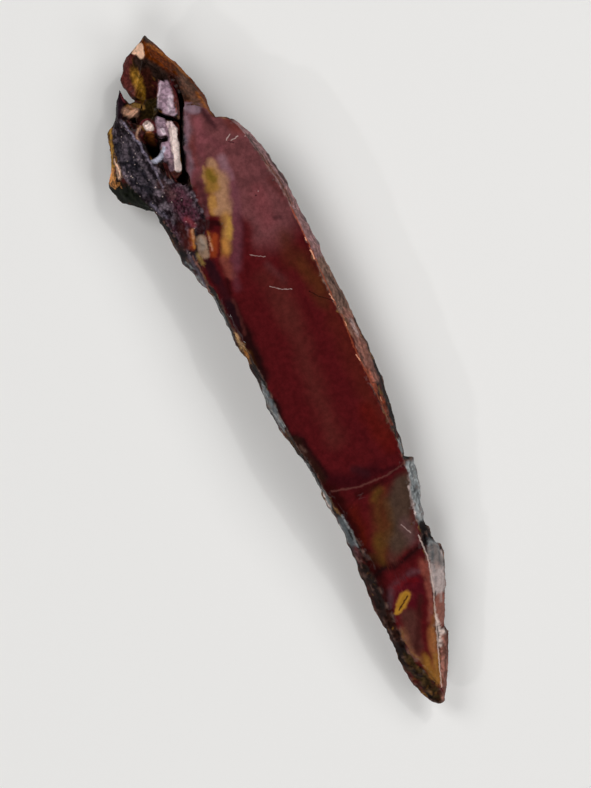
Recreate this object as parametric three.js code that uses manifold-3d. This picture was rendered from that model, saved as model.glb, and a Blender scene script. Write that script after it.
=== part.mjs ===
// Rough mookaite jasper: one long broken wedge of stone that lies on its flattest side, its smooth wine-red
// face up. Millimetres, +Z up. +X runs from the thin tip to the craggy end. The origin is on the resting
// surface, in the middle of the stone's length and width.
import * as THREE from 'three';
import { ConvexGeometry } from 'three/addons/geometries/ConvexGeometry.js';
import { mergeVertices } from 'three/addons/utils/BufferGeometryUtils.js';
import Module from 'manifold-3d';

const wasm = await Module();
wasm.setup();

// Driving dimensions
const LENGTH = 172;
const FACE_HEIGHT = 18; // the smooth face at its highest
const TIP = -LENGTH / 2;
const PEAK = LENGTH / 2;
const ABOVE = FACE_HEIGHT + 4; // clear of the whole stone, where a cut starts
const CLOSEST_SECTIONS = 0.45; // sections along the stone stay at least this far apart
const BALL_DETAIL = 3; // how finely the round hollows of the breaks are faceted

// Edge lines of the upper side from the tip to the peak, as [x, y, drop below FACE_HEIGHT]
const LEFT_RIM = [
  [TIP, -1.9, 10.6], [-84, -2.9, 9.8], [-81.2, -2.8, 9.3], [-78.3, -1.7, 8.8], [-75.2, -0.5, 8.3],
  [-70.9, 0.1, 7.7], [-60, 0.5, 6.5], [-52, 0.5, 5.4], [-50, 0.4, 5.5], [-44, 0.4, 4.7], [-38.4, 1.4, 4.2],
  [-30.9, 2.5, 3.6], [-29.8, 2.7, 2.7], [-22.7, 3.4, 2.3], [-17.2, 4.4, 2.1], [-10.7, 5.2, 1.9],
  [-0.4, 5.1, 1.7], [7.4, 5.9, 1.8], [14.8, 6.9, 2.0], [23.5, 7.1, 2.6], [28.9, 8.2, 3.2], [36.8, 9.2, 4.0],
  [41.4, 10.4, 4.8], [45.8, 11.6, 5.4], [50.9, 14.2, 6.0], [57.2, 16.2, 6.4], [63.9, 15.0, 6.6],
  [69, 13.6, 7.2], [71.9, 10.8, 7.6], [75.1, 9.4, 8.2], [77.3, 7.8, 8.6], [80.4, 5.2, 7.2], [83, 3.1, 5.8],
  [84.9, -0.8, 4.8], [PEAK, -1.8, 6.4],
];
const RIDGE = [
  [TIP, -2.0, 10.4], [-84, -3.0, 9.6], [-80, -3.1, 8.9], [-75.2, -2.1, 8.0], [-60, -3.1, 6.1],
  [-52, -3.9, 5.0], [-50, -4.0, 5.2], [-44, -4.3, 4.2], [-30.9, -3.8, 3.0], [-29.8, -3.8, 2.0],
  [0, -2.2, 0.9], [20, 1.5, 0.9], [30, 4.0, 1.5], [38.6, 6.2, 2.2], [46.8, 8.4, 3.0], [54.4, 8.5, 2.7],
  [59.8, 9.4, 2.6], [66.2, 10.2, 3.2], [69.4, 10.6, 4.6], [72.4, 5.0, 8.4], [76.1, 3.0, 6.4],
  [78.6, 2.0, 5.4], [82, 1.9, 4.6], [84.9, -1.2, 4.3], [PEAK, -1.8, 6.2],
];
const CRACK_LIP = [
  [TIP, -2.1, 10.4], [-84, -3.2, 9.6], [-80, -3.7, 8.8], [-75.2, -3.8, 7.9], [-60, -6.6, 6.0],
  [-52, -8.2, 4.9], [-50, -8.4, 5.1], [-44, -8.8, 4.0], [-30.9, -10.4, 2.7], [-29.8, -10.3, 1.7],
  [0, -9.6, 0.5], [20, -6.0, 0.1], [30, -2.5, 0.0], [38.6, 2.6, 0.5], [45.8, 2.6, 0.6], [49.4, 2.3, 0.5],
  [56.9, 0.0, 0.2], [63.5, -2.4, 0.1], [67, -3.7, 0.9], [70.5, -4.5, 2.0], [73.9, -4.3, 2.5],
  [77.1, -2.9, 2.8], [80, -1.4, 3.0], [84.9, -1.5, 3.6], [PEAK, -1.8, 6.0],
];
const RIGHT_RIM = [
  [TIP, -2.2, 10.5], [-84, -3.4, 9.7], [-79.9, -4.3, 9.0], [-71.1, -6.8, 7.6], [-60.9, -10.0, 6.2],
  [-52, -12.4, 5.1], [-50, -12.6, 5.3], [-45.3, -13.4, 4.3], [-38.6, -14.3, 3.6], [-34.9, -15.6, 3.2],
  [-30.9, -16.4, 2.9], [-29.8, -16.6, 1.8], [-23.2, -17.1, 1.3], [-10.7, -16.8, 0.9], [2.5, -17.2, 0.7],
  [13.7, -16.5, 0.4], [29.6, -16.9, 0.2], [37.8, -16.4, 0.2], [46.6, -15.2, 0.3], [54.3, -13.9, 0.4],
  [59.4, -12.2, 0.6], [61.1, -8.7, 0.8], [63.9, -8.2, 1.8], [67.2, -8.0, 4.6], [71.1, -6.8, 5.8],
  [76.3, -5.6, 6.2], [81.2, -3.3, 5.8], [84.2, -2.1, 5.4], [PEAK, -1.9, 6.6],
];

// Edge lines of the sides and the underside, as [x, y, z]. The two sides are the outline seen from above.
const RIGHT_SIDE = [
  [TIP, -2.5, 6.6], [-80.4, -5.4, 6.8], [-72.9, -8.5, 7.2], [-71.1, -9.5, 7.0], [-69.4, -9.4, 7.6],
  [-63, -12.1, 8.0], [-58.7, -13.8, 8.2], [-53.9, -16.1, 7.6], [-52.1, -16.2, 8.4], [-48.5, -15.5, 9.4],
  [-46.5, -15.7, 9.0], [-45.6, -15.1, 9.6], [-41.7, -15.7, 9.2], [-34.9, -17.5, 9.0], [-30.2, -18.8, 9.4],
  [-29.4, -18.4, 9.8], [-28.8, -17.3, 11.5], [-25.4, -17.9, 10.4], [-19.4, -18.8, 9.6], [-13.7, -19.8, 9.2],
  [-10.7, -20.45, 9.0], [2.5, -20.45, 9.4], [13.7, -20.0, 9.6], [18.2, -19.5, 10.2], [29.6, -19.2, 9.6],
  [37.8, -18.5, 9.8], [43.3, -18.1, 9.4], [46.6, -17.1, 10.0], [51.7, -16.3, 9.8], [55.2, -15.3, 9.6],
  [57.3, -14.2, 9.8], [59.8, -12.6, 10.4], [61.2, -9.3, 10.0], [63.9, -8.8, 9.4], [67.2, -9.0, 9.0],
  [71.1, -7.8, 9.2], [73.9, -7.2, 9.4], [76.3, -6.5, 9.2], [81.2, -4.0, 9.8], [84.2, -2.6, 10.4],
  [PEAK, -2.0, 10.6],
];
const LEFT_SIDE = [
  [TIP, -1.3, 5.8], [-85.2, -0.4, 5.6], [-83, 1.0, 5.6], [-79, 2.4, 6.0], [-74.6, 3.2, 6.4],
  [-67.8, 3.0, 7.6], [-58.6, 3.5, 7.8], [-47.6, 3.2, 8.2], [-39.2, 3.1, 8.4], [-37.3, 2.9, 9.0],
  [-31.6, 3.7, 8.6], [-29.6, 4.1, 8.8], [-28, 3.7, 9.6], [-23.9, 3.8, 9.0], [-18.6, 4.8, 9.4],
  [-15.1, 5.8, 9.0], [-11.4, 6.7, 9.2], [-6.6, 7.1, 9.0], [1.2, 7.0, 9.6], [7.4, 7.0, 9.4], [9.3, 7.9, 9.0],
  [13.1, 8.0, 9.2], [23.4, 8.3, 9.4], [25.8, 9.0, 9.0], [28.4, 10.9, 8.6], [34.6, 11.5, 8.8],
  [38.6, 12.0, 8.6], [45.8, 12.8, 8.4], [47.4, 12.8, 8.6], [48.3, 13.7, 8.0], [50.9, 17.2, 7.0],
  [52, 18.7, 6.6], [53.3, 19.2, 6.4], [55, 19.7, 6.2], [57.2, 20.45, 6.0], [61.2, 18.2, 6.6],
  [64.3, 16.5, 7.0], [69, 15.5, 7.2], [69.5, 14.2, 7.6], [71.9, 11.8, 8.0], [75.1, 10.4, 8.2],
  [77.3, 8.6, 8.4], [79.4, 7.4, 9.0], [80.4, 6.3, 9.4], [81.8, 5.5, 9.6], [83, 4.2, 10.0],
  [83.6, 2.9, 10.4], [84.9, -0.2, 10.8], [PEAK, -1.6, 10.6],
];
const RIGHT_KEEL = [
  [TIP, -2.1, 5.0], [-72, -5.4, 2.6], [-60, -8.4, 1.0], [-52, -10.2, 0], [-20, -13.6, 0], [10, -14.6, 0],
  [40, -12.2, 0], [56, -7.0, 0], [66, -4.6, 2.0], [76, -3.2, 4.6], [PEAK, -1.9, 9.4],
];
const LEFT_KEEL = [
  [TIP, -1.6, 5.0], [-72, 0.2, 2.6], [-60, -0.2, 1.0], [-52, -0.4, 0], [-20, 0.8, 0], [10, 2.6, 0],
  [40, 5.8, 0], [50, 9.6, 0], [56, 11.6, 0], [66, 7.4, 2.4], [76, 3.6, 5.0], [PEAK, -1.7, 9.4],
];

// Cracks, hollows and raised pieces of the craggy end, as outlines seen from above
const MAIN_CRACK = [
  [75.0, -3.6], [72.8, -4.6], [69.8, -4.4], [66.4, -3.9], [63.0, -2.6], [59.7, -1.2], [55.0, 0.6],
  [52.7, 1.4], [50.6, 1.9], [48.9, 2.6], [49.6, 4.4], [51.6, 5.4], [52.4, 3.2], [54.4, 2.4], [58.7, 0.9],
  [62.1, -0.5], [66.6, -2.5], [68.9, -3.1], [70.5, -3.1], [72.5, -2.9],
];
const CROSS_CRACK = [
  [67.8, 3.2], [67.3, 2.2], [65.4, 0.2], [63.5, -2.0], [62.9, -1.4], [64.9, 0.7], [66.8, 2.9],
];
const HOLE = [
  [65.2, 7.6], [64.7, 6.4], [63.6, 4.7], [60.8, 4.6], [58.8, 5.3], [57.6, 6.9], [58.0, 8.3], [61.4, 8.9],
  [64.2, 8.9],
];
const NOTCH = [
  [79.6, 7.9], [78.7, 7.5], [77.3, 7.4], [75.8, 6.9], [74.4, 6.5], [73.2, 6.2], [73.0, 7.2], [73.2, 8.2],
  [74.8, 8.6], [77.4, 8.7], [79.0, 9.6],
];
const PLATE = [
  [74.6, -0.6], [73.1, -1.8], [71.7, -2.5], [69.9, -2.8], [67.9, -2.5], [65.9, -1.5], [65.2, -0.8],
  [66.2, 0.7], [67.7, 2.3], [69.4, 2.1], [71.8, 0.9],
];
const COLUMN = [
  [64.4, 1.0], [64.0, -0.6], [62.7, -0.6], [59.6, 0.5], [56.4, 1.6], [53.3, 2.7], [52.4, 4.1], [53.6, 4.5],
  [56.4, 3.5], [59.5, 2.4], [62.8, 1.2],
];
const COLUMN_HEIGHTS = [16.9, 16.0, 15.9, 15.8, 15.7, 15.4, 15.0, 16.4, 16.9, 17.1, 17.1];
const BENCH = [
  [66.7, 3.2], [65.3, 1.6], [64.3, 0.9], [62.8, 1.2], [59.5, 2.4], [56.4, 3.5], [57.0, 5.0], [59.2, 5.4],
  [61.0, 4.7], [63.8, 4.4],
];
const SHELF = [
  [67.4, 2.6], [66.4, 1.2], [63.2, -1.2], [58.0, 0.9], [52.0, 3.2], [50.4, 5.6], [55.2, 7.2], [58, 8.3],
  [64, 8.6], [67, 8.0],
];
const CUBE = [[63.9, 4.3], [63.4, 2.4], [61.4, 3.0], [61.9, 5.0]];
const CUBE_NOTCH = [[61.9, 5.4], [61.4, 2.9], [60.5, 3.0], [60.9, 5.6]];
const LEDGE = [
  [60.0, 4.2], [58.2, 4.9], [56.2, 6.8], [56.6, 8.4], [57.7, 8.6], [57.9, 7.0], [59.0, 5.5], [60.6, 4.8],
];

// Heights of what stands in the craggy end, and of the floors of its cracks and hollows
const PLATE_HEIGHT = 16.4;
const BENCH_HEIGHT = 16.1;
const CUBE_HEIGHT = 17.2;
const LEDGE_HEIGHT = 12.6;
const SHELF_HEIGHT = 14.8;
const MAIN_CRACK_FLOOR = 8.5;
const CROSS_CRACK_FLOOR = 10.5;
const CUBE_NOTCH_FLOOR = 14.2;
const HOLE_FLOOR = 6.5;
const ROOT = 8; // blocks reach down to here, well inside the stone
const BELOW = -1; // under the resting surface

// Scars of the large old breaks on the two sides, as [x, side, bite, radius of the round hollow].
// Side -1 is the right one.
const SCARS = [
  [-67, -1, 0.8, 14], [-42, -1, 1.1, 15], [-17, -1, 1.0, 18], [9, -1, 1.3, 16], [33, -1, 0.9, 18],
  [52, -1, 1.2, 13], [-63, 1, 0.9, 15], [-40, 1, 1.0, 14], [-19, 1, 1.2, 17], [4, 1, 0.9, 15],
  [24, 1, 1.2, 17], [43, 1, 1.0, 13],
];
// Hollows of the underside, as [x, y, z, radius]
const UNDER_SCARS = [
  [-66, -4, -12, 15], [72, 1, -13, 17], [-33, -13, -10.6, 12], [30, -12, -10.8, 12.5], [60, 16, -12, 15],
];

// Small lumps of the druzy crust
const LUMP_ROWS = 15;
const LUMPS_IN_ROW = 4;
const LUMP_RADIUS = [0.55, 1.15];
const CRUST_FROM = 33;
const CRUST_TO = 69;
const HOLLOWS_FROM = 51; // beyond this only the crust left of the ridge has lumps

// Repeatable draws between 0 and 1
function drawsFrom(seed) {
  let state = seed;
  return () => {
    state = (state * 1664525 + 1013904223) % 4294967296;
    return state / 4294967296;
  };
}

// The point of an edge line at x, as [y, third value]
function at(line, x) {
  const next = Math.max(1, line.findIndex((point) => point[0] >= x));
  const [a, b] = [line[next - 1], line[next]];
  const share = (x - a[0]) / (b[0] - a[0]);
  return [a[1] + share * (b[1] - a[1]), a[2] + share * (b[2] - a[2])];
}

function topPoint(line, x) {
  const [y, drop] = at(line, x);
  return new THREE.Vector3(x, y, FACE_HEIGHT - drop);
}

function lowPoint(line, x) {
  const [y, z] = at(line, x);
  return new THREE.Vector3(x, y, z);
}

// How deep a row of chips of uneven length bites at x
function chipDepth(x, row) {
  const draw = drawsFrom(row);
  let start = TIP;
  for (;;) {
    const length = 4 + 6 * draw();
    const depth = 0.3 + 0.8 * draw();
    if (x <= start + length) return depth * Math.sin((Math.PI * (x - start)) / length);
    start += length;
  }
}

// A point of a side face between an upper and a lower edge line, drawn in by old chips
function flankPoint(upper, lower, across, down, inward, row) {
  const narrow = Math.min(1, upper.distanceTo(lower) / 8);
  const bite = chipDepth(upper.x, row) * narrow;
  return new THREE.Vector3(
    upper.x,
    THREE.MathUtils.lerp(upper.y, lower.y, across) + inward * bite,
    THREE.MathUtils.lerp(upper.z, lower.z, down) - 0.4 * bite,
  );
}

// One closed section across the stone, from the left rim over the face and round the underside
function section(x) {
  const [leftRim, ridge] = [LEFT_RIM, RIDGE].map((line) => topPoint(line, x));
  const [lip, rightRim] = [CRACK_LIP, RIGHT_RIM].map((line) => topPoint(line, x));
  const [rightSide, rightKeel] = [RIGHT_SIDE, RIGHT_KEEL].map((line) => lowPoint(line, x));
  const [leftKeel, leftSide] = [LEFT_KEEL, LEFT_SIDE].map((line) => lowPoint(line, x));
  return [
    leftRim, ridge, lip, rightRim,
    flankPoint(rightRim, rightSide, 0.7, 0.45, 1, 11), rightSide,
    flankPoint(rightSide, rightKeel, 0.35, 0.5, 1, 23), rightKeel,
    leftKeel, flankPoint(leftSide, leftKeel, 0.35, 0.5, -1, 37),
    leftSide, flankPoint(leftRim, leftSide, 0.7, 0.45, -1, 53),
  ];
}

// Closed skin over a run of sections with equally many points
function loft(sections) {
  const around = sections[0].length;
  const corners = sections.flat().flatMap((point) => point.toArray());
  const faces = [];
  for (let row = 0; row < sections.length - 1; row++) {
    for (let i = 0; i < around; i++) {
      const [a, b] = [row * around + i, row * around + ((i + 1) % around)];
      faces.push(a, b, a + around, b, b + around, a + around);
    }
  }
  const last = (sections.length - 1) * around;
  for (let i = 1; i < around - 1; i++) {
    faces.push(0, i + 1, i);
    faces.push(last, last + i, last + i + 1);
  }
  const geometry = new THREE.BufferGeometry();
  geometry.setAttribute('position', new THREE.Float32BufferAttribute(corners, 3));
  geometry.setIndex(faces);
  return geometry;
}

// Upright block over an outline, with one height or one for each corner. Its foot is wider by spread.
function block(outline, tops, foot, spread = 0) {
  const shape = outline.map(([x, y]) => new THREE.Vector2(x, y));
  const heights = outline.map((corner, i) => (Array.isArray(tops) ? tops[i] : tops));
  if (THREE.ShapeUtils.isClockWise(shape)) {
    shape.reverse();
    heights.reverse();
  }
  const middle = new THREE.Vector2();
  for (const corner of shape) middle.addScaledVector(corner, 1 / shape.length);
  const upper = shape.map((corner, i) => [corner.x, corner.y, heights[i]]);
  const lower = shape.map((corner) => {
    const out = corner.clone().sub(middle).setLength(spread);
    return [corner.x + out.x, corner.y + out.y, foot];
  });
  const count = outline.length;
  const faces = [];
  for (const [a, b, c] of THREE.ShapeUtils.triangulateShape(shape, [])) {
    faces.push(a, b, c, count + c, count + b, count + a);
  }
  for (let i = 0; i < count; i++) {
    const next = (i + 1) % count;
    faces.push(i, count + next, next, i, count + i, count + next);
  }
  const geometry = new THREE.BufferGeometry();
  geometry.setAttribute('position', new THREE.Float32BufferAttribute([...upper, ...lower].flat(), 3));
  geometry.setIndex(faces);
  return geometry;
}

function hull(points) {
  return new ConvexGeometry(points.map(([x, y, z]) => new THREE.Vector3(x, y, z)));
}

// Solid for joining and cutting, from a closed geometry
function solid(geometry) {
  const bare = new THREE.BufferGeometry();
  bare.setAttribute('position', geometry.getAttribute('position'));
  if (geometry.index) bare.setIndex(geometry.index);
  const merged = mergeVertices(bare, 1e-5);
  return new wasm.Manifold(new wasm.Mesh({
    numProp: 3,
    vertProperties: merged.getAttribute('position').array,
    triVerts: new Uint32Array(merged.index.array),
  }));
}

// Every corner of the two outlines gets a section of its own
function sectionPlaces() {
  const places = [...RIGHT_SIDE, ...LEFT_SIDE, ...RIDGE, ...LEFT_RIM].map((point) => point[0]);
  const kept = [];
  for (const x of places.sort((a, b) => a - b)) {
    if (!kept.length || x - kept.at(-1) >= CLOSEST_SECTIONS) kept.push(x);
  }
  kept[kept.length - 1] = PEAK;
  return kept;
}

// Height of the lofted upper side at a place
function faceHeight(x, y) {
  const edges = [RIGHT_RIM, CRACK_LIP, RIDGE, LEFT_RIM].map((line) => topPoint(line, x));
  const next = Math.min(3, Math.max(1, edges.findIndex((edge) => edge.y >= y)));
  const share = (y - edges[next - 1].y) / (edges[next].y - edges[next - 1].y);
  return THREE.MathUtils.lerp(edges[next - 1].z, edges[next].z, THREE.MathUtils.clamp(share, 0, 1));
}

// Lumps over the crust between the crack's lip and the left rim
function crustLumps() {
  const draw = drawsFrom(7);
  const lumps = [];
  for (let row = 0; row < LUMP_ROWS; row++) {
    for (let i = 0; i < LUMPS_IN_ROW; i++) {
      const x = THREE.MathUtils.lerp(CRUST_FROM, CRUST_TO, (row + 0.8 * draw()) / LUMP_ROWS);
      const right = x > HOLLOWS_FROM ? at(RIDGE, x)[0] - 0.6 : at(CRACK_LIP, x)[0] + 2.5;
      const left = at(LEFT_RIM, x)[0];
      const y = THREE.MathUtils.lerp(right, left, (i + 0.1 + 0.8 * draw()) / LUMPS_IN_ROW);
      const radius = THREE.MathUtils.lerp(...LUMP_RADIUS, draw() ** 1.5);
      const lump = new THREE.IcosahedronGeometry(radius, 0);
      lump.rotateX(6 * draw()).rotateZ(6 * draw()).scale(1.15, 1, 0.8);
      lump.translate(x, y, faceHeight(x, y) - 0.15 * radius);
      lumps.push(solid(lump));
    }
  }
  return lumps;
}

function addAll(body, pieces) {
  return pieces.reduce((sum, piece) => sum.add(piece), body);
}

function cutAll(body, pieces) {
  return pieces.reduce((rest, piece) => rest.subtract(piece), body);
}

// Hollow inside the peak: its walls fall from the outer slope's ridge to a floor beside the plate
const BOWL = hull([
  [82.6, 0.6, ABOVE], [79.2, -1.6, ABOVE], [76.6, -3.0, ABOVE], [74.0, -4.0, ABOVE], [70.0, 3.2, ABOVE],
  [71.4, 6.2, ABOVE], [75.8, 8.4, ABOVE], [81.6, 2.6, ABOVE], [80.0, 0.8, 12.4], [76.6, -1.2, 11.6],
  [71.4, 2.4, 8.2], [71.8, 4.8, 8.0], [74.0, 5.4, 7.6], [75.8, 3.4, 8.6], [73.8, -0.8, 9.6],
]);
// Hollow between the lump, the plate and the pale facet
const POCKET = hull([
  [73.6, 6.4, ABOVE], [71.6, 2.2, ABOVE], [68.2, 3.0, ABOVE], [66.6, 3.6, ABOVE], [65.2, 5.4, ABOVE],
  [65.8, 8.4, ABOVE], [68.3, 10.9, ABOVE], [71.2, 13.4, ABOVE], [76.2, 10.6, ABOVE], [76.4, 9.0, 7.2],
  [72.4, 4.4, 7.6], [68.4, 4.2, 7.4], [67.0, 6.2, 7.6], [69.4, 9.6, 8.6], [71.2, 11.2, 8.4],
]);
const LUMP = hull([
  [72.8, 8.4, 10.6], [72.4, 6.2, 11.2], [71.6, 5.2, 11.4], [70.4, 5.9, 12.8], [69.7, 7.4, 13.8],
  [69.2, 9.4, 13.6], [70.2, 10.9, 12.4], [72.0, 9.8, 11.4], [73.2, 7.4, 6.0], [69.2, 5.8, 6.0],
  [68.6, 10.8, 6.0], [71.6, 11.2, 6.0],
]);
const TOOTH = hull([
  [77.2, 8.6, 9.4], [74.9, 9.8, 12.0], [73.0, 10.3, 12.6], [71.0, 11.4, 13.2], [69.6, 12.2, 12.6],
  [73.2, 8.6, 9.8], [76.4, 8.9, 7.4], [74.8, 10.3, 8.2], [71.4, 12.0, 8.0], [69.2, 13.4, 8.0],
  [72.0, 8.8, 7.2],
]);
const PALE_FACET = hull([
  [67.3, 7.0, 12.6], [66.9, 5.3, 14.2], [65.5, 4.7, 15.0], [64.7, 6.0, 14.0], [65.4, 7.6, 12.2],
  [66.6, 7.9, 11.8], [67.7, 7.2, 6.0], [67.3, 4.6, 6.0], [64.6, 4.2, 6.0], [64.6, 8.2, 6.0],
]);
// Sharp ridges of the crust, each from one end to the other as [x, y, z, width]
const FINS = [
  [[69.8, 11.2, 14.4, 0.9], [60.2, 9.3, 16.4, 1.3], [51.2, 8.2, 16.2, 0.9]],
  [[64.0, 12.6, 13.4, 0.7], [55.6, 11.6, 14.6, 1.1], [46.6, 9.8, 14.6, 0.7]],
  [[56.4, 6.2, 16.4, 0.8], [50.4, 6.0, 17.2, 1.0], [44.6, 6.0, 16.6, 0.6]],
  [[63.4, 15.0, 12.2, 0.6], [57.4, 14.2, 12.8, 0.9], [50.2, 12.6, 13.2, 0.6]],
];
const FIN_DEPTH = 3;

function fin(places) {
  const part = (a, b) => hull([a, b].flatMap(([x, y, z, width]) => [
    [x, y, z], [x, y - width, z - FIN_DEPTH], [x, y + width, z - FIN_DEPTH],
  ]));
  return [part(places[0], places[1]), part(places[1], places[2])];
}

function craggyEnd(body) {
  const lowered = cutAll(body, [solid(BOWL), solid(POCKET), solid(block(SHELF, ABOVE, SHELF_HEIGHT))]);
  const raised = addAll(lowered, [
    solid(block(PLATE, PLATE_HEIGHT, ROOT, 0.4)),
    solid(block(COLUMN, COLUMN_HEIGHTS, ROOT, 0.2)),
    solid(block(BENCH, BENCH_HEIGHT, ROOT)),
    solid(block(CUBE, CUBE_HEIGHT, ROOT)),
    solid(LUMP), solid(TOOTH), solid(PALE_FACET),
    ...FINS.flatMap(fin).map(solid),
    ...crustLumps(),
  ]);
  const cracked = cutAll(raised, [
    solid(block(MAIN_CRACK, ABOVE, MAIN_CRACK_FLOOR, -0.25)),
    solid(block(CROSS_CRACK, ABOVE, CROSS_CRACK_FLOOR)),
    solid(block(CUBE_NOTCH, ABOVE, CUBE_NOTCH_FLOOR)),
    solid(block(HOLE, ABOVE, HOLE_FLOOR, -1.2)),
    solid(block(NOTCH, ABOVE, BELOW)),
  ]);
  return addAll(cracked, [solid(block(LEDGE, LEDGE_HEIGHT, HOLE_FLOOR - 1))]);
}

function ball(radius, x, y, z) {
  return new THREE.IcosahedronGeometry(radius, BALL_DETAIL).translate(x, y, z);
}

// Round tool that leaves a shallow hollow in a side face, halfway between its outline edge and the underside
function scarTool([x, side, bite, radius]) {
  const outer = lowPoint(side < 0 ? RIGHT_SIDE : LEFT_SIDE, x);
  const keel = lowPoint(side < 0 ? RIGHT_KEEL : LEFT_KEEL, x);
  const fall = outer.clone().sub(keel).normalize();
  const outward = new THREE.Vector3(0, side * fall.z, -Math.abs(fall.y));
  const centre = outer.clone().lerp(keel, 0.5).addScaledVector(outward, radius - bite);
  return ball(radius, ...centre.toArray());
}

function stone() {
  const whole = solid(loft(sectionPlaces().map(section)));
  const hollows = UNDER_SCARS.map(([x, y, z, radius]) => ball(radius, x, y, z));
  return craggyEnd(cutAll(whole, [...SCARS.map(scarTool), ...hollows].map(solid)));
}

function meshOf(body) {
  const { vertProperties, triVerts } = body.getMesh();
  const geometry = new THREE.BufferGeometry();
  geometry.setAttribute('position', new THREE.BufferAttribute(vertProperties, 3));
  geometry.setIndex(new THREE.BufferAttribute(triVerts, 1));
  geometry.computeVertexNormals();
  return geometry;
}

const jasper = new THREE.MeshStandardMaterial({ color: 0x5a2228, roughness: 0.28, metalness: 0 });
const stoneMesh = new THREE.Mesh(meshOf(stone()), jasper);
stoneMesh.name = 'mookaite_stone';

const group = new THREE.Group();
group.add(stoneMesh);

export default group;
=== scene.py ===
"""Rough mookaite jasper: one long broken wedge of stone, wet and glossy, its smooth wine-red face up.

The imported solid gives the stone's form. Here it gets its finish: the druzy crust of the craggy end, the
chipped skin of its broken sides, the cleanly broken face with its step and pits, and the jasper's colours.
Meshes are in metres. Outlines are in millimetres of the same frame, seen from above: x runs from the thin
tip to the craggy end, y to the left when looking towards that end. The colour marks are in pixels of the
photo, and on_stone turns them into these millimetres.
"""

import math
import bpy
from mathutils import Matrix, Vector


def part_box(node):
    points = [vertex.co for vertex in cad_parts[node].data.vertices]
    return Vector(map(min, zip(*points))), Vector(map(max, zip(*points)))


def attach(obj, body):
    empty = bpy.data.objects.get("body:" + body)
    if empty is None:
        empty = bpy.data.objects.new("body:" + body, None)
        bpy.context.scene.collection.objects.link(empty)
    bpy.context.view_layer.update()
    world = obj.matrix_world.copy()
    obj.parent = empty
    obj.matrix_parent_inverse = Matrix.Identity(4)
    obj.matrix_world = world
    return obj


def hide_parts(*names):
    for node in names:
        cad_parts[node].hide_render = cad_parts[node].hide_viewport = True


bl_info = {
    "name": "Rough mookaite jasper",
    "version": (1, 0, 0),
    "blender": (4, 5, 0),
    "location": "View3D > Sidebar > Jasper",
    "description": "Builds a wet piece of rough mookaite jasper and a plain stage for it",
    "category": "Add Mesh",
}

import bmesh
import bpy
import numpy as np
from bpy.props import FloatProperty, FloatVectorProperty, IntProperty, PointerProperty
from mathutils import Matrix, Vector, noise
from mathutils.bvhtree import BVHTree

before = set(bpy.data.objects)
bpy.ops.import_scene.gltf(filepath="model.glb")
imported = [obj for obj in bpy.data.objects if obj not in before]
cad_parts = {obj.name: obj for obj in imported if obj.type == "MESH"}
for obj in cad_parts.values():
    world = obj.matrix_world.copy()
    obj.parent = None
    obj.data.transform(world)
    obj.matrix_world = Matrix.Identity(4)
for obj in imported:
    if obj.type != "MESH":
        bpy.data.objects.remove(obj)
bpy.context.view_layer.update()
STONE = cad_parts["mookaite_stone"]

MM = 0.001  # metres in a millimetre
HALF_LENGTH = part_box("mookaite_stone")[1][0] / MM  # half of the stone's length, in mm
LEAN = math.radians(24)  # how far the stone leans to the left in the photo
PHOTO_MIDDLE = (286.4, 373.6)  # pixel of the photo, right and down, at which the frame's origin lies
PHOTO_LENGTH = 739.1  # length of the stone in the photo, in pixels
PHOTO_SCALE = PHOTO_LENGTH / (2 * HALF_LENGTH)  # pixels in a millimetre
LAMP_DISTANCE = 0.9  # metres from the middle of the floor
EYE_PLACE = -5.2  # where along the stone the camera looks down, in mm
FACE_ROWS = 2  # of so many rows of the smooth face's points each way, thinning keeps one
VEIN_STRETCH = (0.3, 1, 1)  # places are scaled by these, so that the veins run along the stone
RIM_CHIPS = (1.5, 0.7)  # width of the chips along the smooth face's rim and how far they bite in, in mm
BEND_TERMS = (6, 3)  # terms along and across the stone of the even bend that the smooth face gets
STEP_WIDTH = 0.6  # how far the step across the face slopes, in mm
STEP_END = (3, 16)  # how far past the step the face starts and ends to come up again, in mm
STEP_GROOVE = (1.0, 0.5, 0.12)  # place past the step, half width and depth of the groove at its foot, in mm
CRYSTAL_SEED = 7
CRYSTAL_SIZE_SEED = 3
CRYSTAL_SHARES = ((0.45, 0.5, 0.6), (0.8, 0.9, 1.15))  # least and greatest shares of the crystal size
CHIP_SCALES = ((1.0, 1.0), (0.42, 0.42), (0.17, 0.13))  # width and depth shares of each run of scars
CHIP_STRETCH = (1.0, 0.7, 0.62)  # places are scaled by these, so that the scars are longer in y and z
SKY_FROM = 28  # the shade of hollows is worked out from here to the craggy end, in mm
SKY_REACH = 5  # what is nearer than this hides a part of the sky, in mm
SKY_RINGS = ((20, 4), (45, 6), (68, 8))  # tilt in degrees and number of the rays of each ring

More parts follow.
